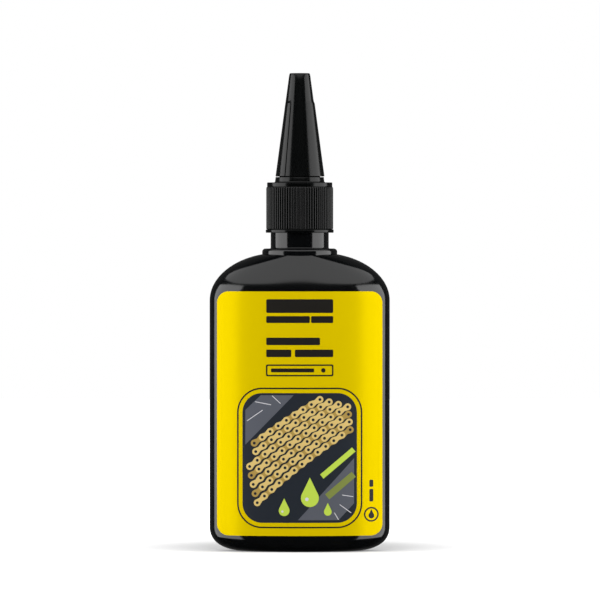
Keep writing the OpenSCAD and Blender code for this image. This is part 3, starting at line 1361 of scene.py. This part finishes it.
@dataclass
class OverCap:
    """The long conical cap with saw-tooth grip ridges and a sealing pin inside."""

    palette: Palette
    rim_z: float = 125.8
    height: float = 34.7
    rim_r: float = 8.1
    top_r: float = 3.45
    wall: float = 1.0
    roof_t: float = 1.3
    edge: float = 0.45
    pin_r: float = 0.73
    pin_l: float = 4.6
    ridges: int = 3
    ridge_out: float = 0.29
    ridge_sweep: float = 54.0
    ridge_start: float = 28.3
    ridge_top: float = 9.2
    ridge_fade: Flat = (1.2, 1.4)
    step_sweep: float = 0.5
    step_edge: float = 0.35
    rim_soft: float = 0.15
    rim_edge: float = 0.1
    pin_edge: Flat = (0.2, 0.25)
    columns: int = 180

    def angles(self) -> list[Flat]:
        """Directions round the cap, close together at each ridge's step.

        Returns:
            Degrees from the front, and the share of the ridge's height there.
        """
        pitch = 360.0 / self.ridges
        drop, edge = self.step_sweep, self.step_edge
        made = [360.0 * i / self.columns for i in range(self.columns)]
        for k in range(self.ridges):
            end = (self.ridge_start + k * pitch + self.ridge_sweep) % 360
            made += [end - edge, end, end + drop / 2, end + drop, end + drop + edge]
        shares = []
        for a in sorted(x % 360 for x in made):
            into = (a - self.ridge_start) % pitch
            if into <= self.ridge_sweep:
                share = math.sin(math.radians(into)) / math.sin(math.radians(self.ridge_sweep))
            elif into < self.ridge_sweep + drop:
                share = 1 - (into - self.ridge_sweep) / drop
            else:
                share = 0.0
            shares.append((a, share))
        return shares

    def outer(self) -> Profile:
        """Outer profile from the rim to the top, on which the ridges run out near the top.

        Returns:
            The profile.
        """
        slope = (self.rim_r - self.top_r) / self.height
        top = self.rim_z + self.height
        ridge_z = top - self.ridge_top
        soft, (before, length) = self.rim_soft, self.ridge_fade
        rows = [(self.rim_r - soft, self.rim_z, 0.6), (self.rim_r, self.rim_z + soft, 1.0)]
        low, fade = self.rim_z + 1, ridge_z - before
        shaft = [(low + (fade - low) * i / 10, 1.0) for i in range(11)]
        for i in range(1, 9):
            shaft.append((fade + length * i / 8, 0.5 + 0.5 * math.cos(math.pi * i / 8)))
        bare = top - self.edge - 2 * soft
        shaft += [(ridge_z + (bare - ridge_z) * i / 5, 0.0) for i in range(1, 6)]
        rows += [(self.rim_r - slope * (z - self.rim_z), z, add) for z, add in shaft]
        e = self.edge
        return rows + [(r, z, 0.0) for r, z in arc(self.top_r - e, top - e, e, 6, 90, 7)]

    def inner(self) -> Profile:
        """Inner profile from the pin's tip back to the rim.

        Returns:
            The profile.
        """
        roof = self.rim_z + self.height - self.roof_t
        slope = (self.rim_r - self.top_r) / self.height
        top_r = self.top_r + slope * self.roof_t - self.wall
        tip, (narrow, up) = roof - self.pin_l, self.pin_edge
        mouth_r = self.rim_r - self.wall
        return [
            (self.pin_r - narrow, tip, 0.0),
            (self.pin_r, tip + up, 0.0),
            (self.pin_r, roof, 0.0),
            (top_r, roof, 0.0),
            (mouth_r, self.rim_z + self.rim_edge, 0.0),
            (mouth_r + self.rim_edge, self.rim_z, 0.0),
        ]

    def build(self) -> bpy.types.Object:
        """Builds the cap.

        Returns:
            The finished piece.
        """
        angles = self.angles()
        rows = self.inner() + self.outer()
        points: list[Point] = []
        for r, z, add in rows:
            for a, share in angles:
                out = r + self.ridge_out * share * add
                turn = math.radians(a - 90)
                points.append((out * math.cos(turn), out * math.sin(turn), z))
        n = len(angles)
        faces = ring_faces(len(rows), n)
        add_poles(points, faces, len(rows), n, (rows[0][1], rows[-1][1]))
        piece = new_object("over_cap_shell", points, faces)
        smooth(piece, angle=36.0)
        dress(piece, self.palette.closure)
        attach(piece, Body.CAP.value)
        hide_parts("over_cap")
        return piece


@dataclass
class Label:
    """The front label and its generic print."""

    form: OvalBody
    palette: Palette
    half_w: float = 27.75
    low_z: float = 5.5
    top_z: float = 87.3
    corner: float = 3.9
    gap: float = 0.03
    thick: float = 0.12
    ink_t: float = 0.016
    ink_gap: float = 0.004
    slice_w: float = 0.5
    slice_h: float = 4.0
    columns: int = 150
    corner_rows: int = 16
    mid_rows: int = 24

    def row_heights(self) -> list[float]:
        """Heights of the label's rows, close together at its rounded corners.

        Returns:
            Rising heights.
        """
        turns = [math.pi / 2 * i / self.corner_rows for i in range(self.corner_rows + 1)]
        low = [self.low_z + self.corner * (1 - math.cos(t)) for t in turns]
        high = [self.top_z - self.corner * (1 - math.cos(t)) for t in reversed(turns)]
        step = (high[0] - low[-1]) / self.mid_rows
        mid = [low[-1] + step * i for i in range(1, self.mid_rows)]
        return low + mid + high

    def reach(self, z: float) -> float:
        """Half width of the label at a height.

        Args:
            z: Height.

        Returns:
            The half width.
        """
        into = self.corner - min(z - self.low_z, self.top_z - z)
        if into <= 0:
            return self.half_w
        return self.half_w - self.corner + math.sqrt(max(0.0, self.corner**2 - into**2))

    def build(self) -> bpy.types.Object:
        """Builds the label's film.

        Returns:
            The finished piece.
        """
        rows = self.row_heights()
        width = self.columns + 1
        points: list[Point] = []
        for off in (self.gap + self.thick, self.gap):
            for z in rows:
                half = self.reach(z)
                a = self.form.half_sizes(z)[0] + off
                end = math.asin(half / a)
                for j in range(width):
                    x = a * math.sin(end * (2 * j / self.columns - 1))
                    points.append(self.form.front(x, z, off))
        side = width * len(rows)
        faces = []
        for i in range(len(rows) - 1):
            for j in range(self.columns):
                p, q = i * width + j, (i + 1) * width + j
                faces.append((p, p + 1, q + 1, q))
                faces.append((side + p, side + q, side + q + 1, side + p + 1))
        top = (len(rows) - 1) * width
        for j in range(self.columns):
            faces.append((j, side + j, side + j + 1, j + 1))
            faces.append((top + j, top + j + 1, side + top + j + 1, side + top + j))
        for i in range(len(rows) - 1):
            p, q = i * width, (i + 1) * width
            faces.append((p, q, side + q, side + p))
            p, q = p + self.columns, q + self.columns
            faces.append((p, side + p, side + q, q))
        piece = new_object("label_film", points, faces)
        smooth(piece, angle=40.0)
        self._finish(piece, self.palette.label)
        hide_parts("front_label")
        return piece

    def _finish(self, piece: bpy.types.Object, material: bpy.types.Material) -> None:
        """Dresses a piece of the label and lets it ride on the bottle.

        Args:
            piece: The piece.
            material: Its finish.
        """
        dress(piece, material)
        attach(piece, Body.BOTTLE.value)

    def ink(self, name: str, shapes: Sequence[Shape], layer: int, ink: Ink) -> bpy.types.Object:
        """Lays flat shapes on the label as one layer of ink.

        Args:
            name: The piece's name.
            shapes: Outlines, each a filled outline or a band between two outlines.
            layer: How many layers lie under it.
            ink: The ink.

        Returns:
            The finished piece.
        """
        work = bmesh.new()
        for shape in shapes:
            shape.draw(work)
        reach = int(self.half_w / self.slice_w) + 1
        rows = int((self.top_z - self.low_z) / self.slice_h)
        cuts = [((i * self.slice_w, 0, 0), (1, 0, 0)) for i in range(-reach, reach + 1)]
        cuts += [((0, 0, self.low_z + self.slice_h * i), (0, 0, 1)) for i in range(1, rows + 1)]
        for place, across in cuts:
            whole = work.verts[:] + work.edges[:] + work.faces[:]
            bmesh.ops.bisect_plane(work, geom=whole, plane_co=place, plane_no=across)
        base = self.gap + self.thick + self.ink_gap + layer * (self.ink_t + self.ink_gap)
        sheet = bmesh.ops.extrude_face_region(work, geom=work.faces[:])["geom"]
        lifted = {v for v in sheet if isinstance(v, bmesh.types.BMVert)}
        for corner in work.verts:
            off = base + self.ink_t if corner in lifted else base
            corner.co = Vector(self.form.front(corner.co.x, corner.co.z, off)) * MM
        bmesh.ops.recalc_face_normals(work, faces=work.faces[:])
        mesh = bpy.data.meshes.new(name)
        work.to_mesh(mesh)
        work.free()
        piece = bpy.data.objects.new(name, mesh)
        bpy.context.scene.collection.objects.link(piece)
        smooth(piece, angle=30.0)
        self._finish(piece, self.palette.inks[ink])
        return piece


@dataclass
class Shape:
    """A flat shape on the label: a filled outline, or the band between it and an inner one."""

    outline: Sequence[Flat]
    inner: Sequence[Flat] | None = None

    def draw(self, work: bmesh.types.BMesh) -> None:
        """Adds the shape's faces to a mesh, in the XZ plane.

        Args:
            work: The mesh, in millimetres.
        """
        outer = [work.verts.new((x, 0.0, z)) for x, z in self.outline]
        if self.inner is None:
            work.faces.new(outer)
            return
        inner = [work.verts.new((x, 0.0, z)) for x, z in self.inner]
        count = len(outer)
        for j in range(count):
            k = (j + 1) % count
            work.faces.new((outer[j], outer[k], inner[k], inner[j]))


def rounded(cx: float, cz: float, w: float, h: float, r: float, steps: int = 8) -> list[Flat]:
    """Outline of a rounded rectangle.

    Args:
        cx: Its centre's x.
        cz: Its centre's height.
        w: Width.
        h: Height.
        r: Corner radius.
        steps: Segments at a corner.

    Returns:
        The outline.
    """
    x, z = w / 2 - r, h / 2 - r
    return (
        arc(cx + x, cz - z, r, -90, 0, steps)
        + arc(cx + x, cz + z, r, 0, 90, steps)
        + arc(cx - x, cz + z, r, 90, 180, steps)
        + arc(cx - x, cz - z, r, 180, 270, steps)
    )


def drop(cx: float, cz: float, r: float, tall: float = 2.3, steps: int = 24) -> list[Flat]:
    """Outline of a drop with its tip up.

    Args:
        cx: x of its round end's centre.
        cz: Height of that centre.
        r: Radius of the round end.
        tall: How many radii the tip lies above the centre.
        steps: Segments of the round end.

    Returns:
        The outline.
    """
    tip = (cx, cz + r * tall)
    lean = math.degrees(math.asin(1 / tall))
    return arc(cx, cz, r, 180 - lean, 360 + lean, steps) + [tip]


def link(cx: float, cz: float, length: float, width: float, turn: float) -> list[Flat]:
    """Outline of a chain's side plate: two round ends and a narrow waist.

    Args:
        cx: Its centre's x.
        cz: Its centre's height.
        length: Overall length.
        width: Width of the round ends.
        turn: Degrees that it is turned from level.

    Returns:
        The outline.
    """
    r, reach = width / 2, length / 2 - width / 2
    waist_share, end_turn, steps = 0.62, 115, 14
    waist = r * waist_share
    shape = arc(reach, 0, r, -end_turn, end_turn, steps) + [(0.0, waist)]
    shape += arc(-reach, 0, r, 180 - end_turn, 180 + end_turn, steps) + [(0.0, -waist)]
    c, s = math.cos(math.radians(turn)), math.sin(math.radians(turn))
    return [(cx + x * c - z * s, cz + x * s + z * c) for x, z in shape]


def circle(cx: float, cz: float, r: float, steps: int = 20) -> list[Flat]:
    """Outline of a circle.

    Args:
        cx: Its centre's x.
        cz: Its centre's height.
        r: Radius.
        steps: Number of segments.

    Returns:
        The outline.
    """
    return arc(cx, cz, r, 0, 360, steps)[:-1]


@dataclass
class ChainPath:
    """A drawn chain: pins a pitch apart along a bending path, with plates between them."""

    start: Flat
    heading: float
    bends: Sequence[float]
    pitch: float
    width: float

    def pins(self) -> list[Flat]:
        """Places of the pins.

        Returns:
            One place a pin, from the start on.
        """
        x, z = self.start
        heading = self.heading
        places = [(x, z)]
        for bend in self.bends:
            heading += bend
            x += self.pitch * math.cos(math.radians(heading))
            z += self.pitch * math.sin(math.radians(heading))
            places.append((x, z))
        return places

    def plates(self) -> list[Shape]:
        """Side plates between neighbouring pins.

        Returns:
            One plate fewer than there are pins.
        """
        places = self.pins()
        made = []
        for (x0, z0), (x1, z1) in zip(places, places[1:]):
            turn = math.degrees(math.atan2(z1 - z0, x1 - x0))
            length = self.pitch + self.width
            made.append(Shape(link((x0 + x1) / 2, (z0 + z1) / 2, length, self.width, turn)))
        return made


@dataclass
class Print:
    """The label's generic print: plain bars, a framed panel with drawn chains, and a drop."""

    label: Label
    panel_w: float = 38.3
    panel_h: float = 43.4
    panel_z: float = 31.6
    panel_r: float = 6.5
    keyline_gap: float = 1.3
    keyline: float = 0.52
    mark_at: Flat = (24.0, 12.6)
    mark_r: float = 2.5
    ray_w: float = 0.22
    chains: int = 7
    chain_from: Flat = (-14.2, 16.6)
    chain_turn: float = 44.0
    chain_bend: float = -0.9
    chain_gap: float = 2.75
    links: int = 22
    pitch: float = 3.3
    plate_w: float = 2.35
    pin_r: float = 0.5
    margin: float = 1.9

    def bars(self) -> list[Shape]:
        """Dark fields above the panel, each given by its centre, width, height and corner radius.

        Returns:
            The shapes.
        """
        bars = [
            (0.0, 82.4, 22.4, 4.6, 0.5),
            (-3.9, 77.9, 14.6, 2.3, 0.4),
            (7.5, 77.9, 7.4, 2.3, 0.4),
            (-2.2, 70.6, 18.0, 2.5, 0.4),
            (-7.0, 66.6, 8.4, 2.5, 0.4),
            (4.8, 66.6, 12.8, 2.5, 0.4),
        ]
        made = [Shape(rounded(x, z, w, h, r)) for x, z, w, h, r in bars]
        made.append(Shape(rounded(0.0, 60.9, 22.6, 4.0, 0.6), rounded(0.0, 60.9, 21.6, 3.0, 0.4)))
        made.append(Shape(rounded(-2.4, 60.9, 14.4, 1.3, 0.3)))
        made.append(Shape(circle(7.9, 60.9, 0.75)))
        return made

    def frame(self) -> list[Shape]:
        """Keyline round the panel.

        Returns:
            One band.
        """
        z, g, k = self.panel_z, self.keyline_gap, self.keyline
        w, h, r = self.panel_w + 2 * g, self.panel_h + 2 * g, self.panel_r + g
        outer = rounded(0, z, w + 2 * k, h + 2 * k, r + k, 12)
        return [Shape(outer, rounded(0, z, w, h, r, 12))]

    def mark(self) -> list[Shape]:
        """A plain drop in a ring, with two short bars over it, at the label's lower corner.

        Returns:
            The shapes.
        """
        x, z = self.mark_at
        bars = [Shape(rounded(x, z + up, 1.3, tall, 0.4)) for up, tall in ((6.4, 4.2), (10.4, 2.4))]
        ring = Shape(circle(x, z, self.mark_r, 32), circle(x, z, self.mark_r - self.keyline, 32))
        return [ring, Shape(drop(x, z - 0.45, 0.95)), *bars]

    def holds(self, spot: Flat, margin: float) -> bool:
        """Whether a spot lies in the panel, a margin off its edge.

        Args:
            spot: The spot.
            margin: How far it has to keep off the edge.

        Returns:
            True where it does.
        """
        r = self.panel_r - margin
        x = max(0.0, abs(spot[0]) - self.panel_w / 2 + margin + r)
        z = max(0.0, abs(spot[1] - self.panel_z) - self.panel_h / 2 + margin + r)
        return math.hypot(x, z) <= r

    def strands(self) -> list[ChainPath]:
        """Chains that lie side by side across the panel.

        Returns:
            The chains, each set back half a pitch from the one before.
        """
        x, z = self.chain_from
        turn = math.radians(self.chain_turn)
        across, up = -math.sin(turn), math.cos(turn)
        bends = [self.chain_bend] * self.links
        made = []
        for i in range(self.chains):
            aside, back = self.chain_gap * i, self.pitch * i / 2
            start = (x + aside * across - back * up, z + aside * up + back * across)
            made.append(ChainPath(start, self.chain_turn, bends, self.pitch, self.plate_w))
        return made

    def stripe(self, start: Flat, end: Flat, width: float) -> Shape:
        """Straight stripe between two points.

        Args:
            start: Middle of its one end.
            end: Middle of its other end.
            width: Its width.

        Returns:
            The stripe.
        """
        (x0, z0), (x1, z1) = start, end
        far = math.hypot(x1 - x0, z1 - z0)
        dx, dz = (z1 - z0) / far * width / 2, (x0 - x1) / far * width / 2
        ahead = [(x0 + dx, z0 + dz), (x1 + dx, z1 + dz)]
        return Shape(ahead + [(x1 - dx, z1 - dz), (x0 - dx, z0 - dz)])

    def fields(self) -> dict[Ink, list[Shape]]:
        """Flat fields, rays and stripes beside the chains.

        Returns:
            The shapes of each ink.
        """
        rays = [
            ((-17.6, 44.0), (-12.4, 47.6)),
            ((-14.9, 50.4), (-9.6, 49.4)),
            ((-9.2, 52.4), (-6.4, 49.8)),
            ((17.9, 18.6), (14.2, 19.2)),
            ((17.2, 13.2), (13.4, 16.0)),
            ((13.0, 10.9), (11.6, 13.3)),
        ]
        return {
            Ink.SLATE: [
                Shape([(-18.2, 36.0), (-2.0, 52.6), (-13.0, 52.6), (-18.2, 47.6)]),
                Shape([(18.2, 31.5), (-0.6, 10.8), (13.0, 10.8), (18.2, 16.4)]),
            ],
            Ink.WHITE: [self.stripe(start, end, self.ray_w) for start, end in rays],
            Ink.LIME: [self.stripe((7.4, 25.4), (18.1, 34.4), 1.8)],
            Ink.OLIVE: [self.stripe((9.2, 18.6), (18.1, 26.1), 2.2)],
        }

    def build(self) -> list[bpy.types.Object]:
        """Builds the print.

        Returns:
            The finished pieces.
        """
        lay = self.label.ink
        dark = lay("label_dark_print", self.bars() + self.frame() + self.mark(), 0, Ink.BLACK)
        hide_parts("label_ink_dark")
        panel = Shape(rounded(0, self.panel_z, self.panel_w, self.panel_h, self.panel_r, 12))
        made = [dark, lay("label_panel", [panel], 0, Ink.CHARCOAL)]
        fields = self.fields()
        for ink, layer in ((Ink.SLATE, 1), (Ink.OLIVE, 2), (Ink.WHITE, 2)):
            made.append(lay(f"label_{ink.name.lower()}_fields", fields[ink], layer, ink))
        odd: list[Shape] = []
        even: list[Shape] = []
        pins: list[Shape] = []
        for strand in self.strands():
            spots = strand.pins()
            kept = [self.holds(spot, self.margin) for spot in spots]
            for i, plate in enumerate(strand.plates()):
                if kept[i] and kept[i + 1]:
                    (even if i % 2 else odd).append(plate)
            held = (spot for spot, keep in zip(spots, kept) if keep)
            pins += [Shape(circle(x, z, self.pin_r, 12)) for x, z in held]
        made.append(lay("label_inner_plates", even, 3, Ink.OCHRE))
        golden = lay("label_gold_print", odd, 4, Ink.GOLD)
        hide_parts("label_ink_gold")
        made += [golden, lay("label_link_pins", pins, 5, Ink.CHARCOAL)]
        made.append(lay("label_lime_stripe", fields[Ink.LIME], 5, Ink.LIME))
        drops = [Shape(drop(3.4, 18.2, 3.0)), Shape(drop(-5.2, 14.0, 1.8)), Shape(drop(9.4, 13.6, 1.3))]
        made.append(lay("label_lime_drops", drops, 6, Ink.LIME))
        glints = [Shape(circle(2.4, 17.8, 0.6)), Shape(circle(-5.8, 13.7, 0.38))]
        made.append(lay("label_drop_glints", glints, 7, Ink.WHITE))
        return made


@dataclass
class Studio:
    """Camera, floor and lights, as the photograph's studio has them.

    Camera and lights are in metres, the softboxes' directions and rims in degrees, and the floor
    and the room in millimetres.
    """

    camera_far: float = 3.0
    camera_z: float = 0.112
    aim_z: float = 0.0843
    aim_x: float = 0.0001
    frame_w: float = 0.2016
    sensor_mm: float = 36.0
    view_end: float = 20.0
    fill_light: float = 0.45
    side_far: float = 0.65
    side_turn: float = 81.2
    side_half: float = 29.8
    side_low: float = -0.33
    side_high: float = 0.44
    side_glow: float = 2.6
    canopy_far: float = 1.6
    canopy_eye: float = 0.095
    canopy_glow: float = 1.35
    canopy_rows: int = 6
    canopy_columns: int = 24
    canopy_low: float = 23.8
    canopy_high: float = 62.0
    canopy_rise: float = 10.4
    canopy_flat: float = 12.0
    canopy_turn: float = 104.0
    canopy_end: float = 122.5
    canopy_tip: float = 38.0
    canopy_blunt: float = 0.3
    canopy_round: Flat = (3.0, 0.6)
    floor_reach: float = 2500.0
    room_r: float = 1900.0
    room_low: float = -600.0
    room_high: float = 2600.0
    room_sides: int = 48

    def camera(self) -> None:
        """Long lens, level with the neck and looking at the middle of the frame."""
        data = bpy.data.cameras.new("camera")
        data.sensor_width = self.sensor_mm
        data.lens = self.sensor_mm * self.camera_far / self.frame_w
        data.clip_end = self.view_end
        made = bpy.data.objects.new("camera", data)
        made.location = (self.aim_x, -self.camera_far, self.camera_z)
        aim = Vector((self.aim_x, 0.0, self.aim_z)) - made.location
        made.rotation_euler = aim.to_track_quat("-Z", "Y").to_euler()
        bpy.context.scene.collection.objects.link(made)
        bpy.context.scene.camera = made

    def panel(self, name: str, centre: Point, aim: Point, w: float, h: float, glow: float) -> None:
        """Adds a rectangular softbox.

        Args:
            name: The lamp's name.
            centre: Its middle, in metres.
            aim: The point that it faces.
            w: Width in metres.
            h: Height in metres.
            glow: Brightness of its face, where 1 is white.
        """
        data = bpy.data.lights.new(name, "AREA")
        data.shape = "RECTANGLE"
        data.size = w
        data.size_y = h
        data.energy = glow * math.pi * w * h
        lamp = bpy.data.objects.new(name, data)
        lamp.location = centre
        lamp.rotation_euler = (Vector(aim) - Vector(centre)).to_track_quat("-Z", "Y").to_euler()
        lamp.visible_camera = False
        bpy.context.scene.collection.objects.link(lamp)

    def lights(self) -> None:
        """Two tall side softboxes and a curved one overhead in front."""
        far, mid = self.side_far, math.radians(self.side_turn)
        width = 2 * far * math.tan(math.radians(self.side_half))
        tall, z = self.side_high - self.side_low, (self.side_low + self.side_high) / 2
        for side in (-1, 1):
            spot = (side * far * math.sin(mid), -far * math.cos(mid), z)
            name = f"side_softbox_{'left' if side < 0 else 'right'}"
            self.panel(name, spot, (0.0, 0.0, z), width, tall, self.side_glow)
        self.curved_softbox()

    def canopy_rim(self, turn: float) -> tuple[float, float]:
        """Lower and upper rim of the overhead softbox, as elevations in degrees.

        Args:
            turn: Direction round the set in degrees from the camera's side.

        Returns:
            The two elevations.
        """
        rise = min(1.0, max(0.0, (turn - self.canopy_flat) / (self.canopy_turn - self.canopy_flat)))
        tip = max(0.0, (turn - self.canopy_turn) / (self.canopy_end - self.canopy_turn))
        sharp, full = self.canopy_round
        low = self.canopy_low + self.canopy_rise * math.sin(math.pi / 2 * rise) ** 2
        low += (self.canopy_tip - self.canopy_low - self.canopy_rise) * tip**sharp
        left = max(0.0, 1 - (turn / self.canopy_end) ** sharp) ** full
        high = self.canopy_tip + self.canopy_blunt + (self.canopy_high - self.canopy_tip) * left
        return low, high

    def curved_softbox(self) -> None:
        """Overhead softbox whose rim curves round the set, seen from the bottle as directions."""
        far, eye = self.canopy_far / MM, self.canopy_eye / MM
        rows, columns = self.canopy_rows, self.canopy_columns
        points: list[Point] = []
        quarters = [math.pi / 2 * j / columns for j in range(-columns, columns + 1)]
        turns = [self.canopy_end * math.sin(quarter) for quarter in quarters]
        for turn in turns:
            low, high = self.canopy_rim(abs(turn))
            a = math.radians(turn)
            for i in range(rows + 1):
                up = math.radians(low + (high - low) * i / rows)
                out = far * math.cos(up)
                points.append((out * math.sin(a), -out * math.cos(a), eye + far * math.sin(up)))
        faces = []
        for j in range(len(turns) - 1):
            for i in range(rows):
                p, q = j * (rows + 1) + i, (j + 1) * (rows + 1) + i
                faces.append((p, p + 1, q + 1, q))
        board = new_object("curved_softbox", points, faces)
        dress(board, SoftboxFace(glow=self.canopy_glow).make())
        board.visible_camera = False

    def world(self) -> None:
        """White to the camera and in reflections, soft grey as light."""
        world = bpy.data.worlds.new("studio")
        world.use_nodes = True
        tree = world.node_tree
        tree.nodes.clear()
        light = {"Value": backdrop_rays(tree), "To Min": self.fill_light, "To Max": 1.0}
        strength = add_node(tree, "ShaderNodeMapRange", light)
        sky = add_node(
            tree,
            "ShaderNodeBackground",
            {"Color": (1.0, 1.0, 1.0, 1.0), "Strength": strength.outputs["Result"]},
        )
        add_node(tree, "ShaderNodeOutputWorld", {"Surface": sky.outputs["Background"]})
        bpy.context.scene.world = world

    def floor(self) -> None:
        """Pale floor that keeps the bottle's shadow, with a painted shadow pool round it."""
        far = self.floor_reach
        corners = [(-far, -far, 0.0), (far, -far, 0.0), (far, far, 0.0), (-far, far, 0.0)]
        board = new_object("floor", corners, [(0, 1, 2, 3)])
        dress(board, GlowingBoardPaintedShadow().make())
        board.visible_glossy = False

    def dark_room(self) -> None:
        """Black cloth round and under the set, which only reflections see."""
        sides = self.room_sides
        turns = [math.tau * i / sides for i in range(sides)]
        ring = [(self.room_r * math.cos(t), self.room_r * math.sin(t)) for t in turns]
        points = [(x, y, z) for z in (self.room_low, self.room_high) for x, y in ring]
        faces = ring_faces(2, sides)
        faces += [tuple(range(sides)), tuple(range(sides, 2 * sides))]
        room = new_object("dark_room", points, faces)
        dress(room, BlackCloth().make())
        room.visible_camera = False
        room.visible_diffuse = False
        room.visible_shadow = False
        room.visible_transmission = False

    def build(self) -> None:
        """Sets up the studio."""
        self.camera()
        self.world()
        self.floor()
        self.dark_room()
        self.lights()


def main() -> None:
    """Builds the studio and every piece round the frame."""
    logging.basicConfig(level=logging.INFO, format="%(message)s")
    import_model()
    Studio().build()
    palette = Palette()
    form = OvalBody()
    pieces = [
        Bottle(form, palette).build(),
        Collar(palette).build(),
        Spout(palette).build(),
        OverCap(palette).build(),
    ]
    label = Label(form, palette)
    pieces.append(label.build())
    pieces += Print(label).build()
    for piece in pieces:
        log.info("%s: %d faces", piece.name, len(piece.data.polygons))
    bpy.context.scene.view_settings.view_transform = "Standard"


if __name__ == "__main__":
    main()
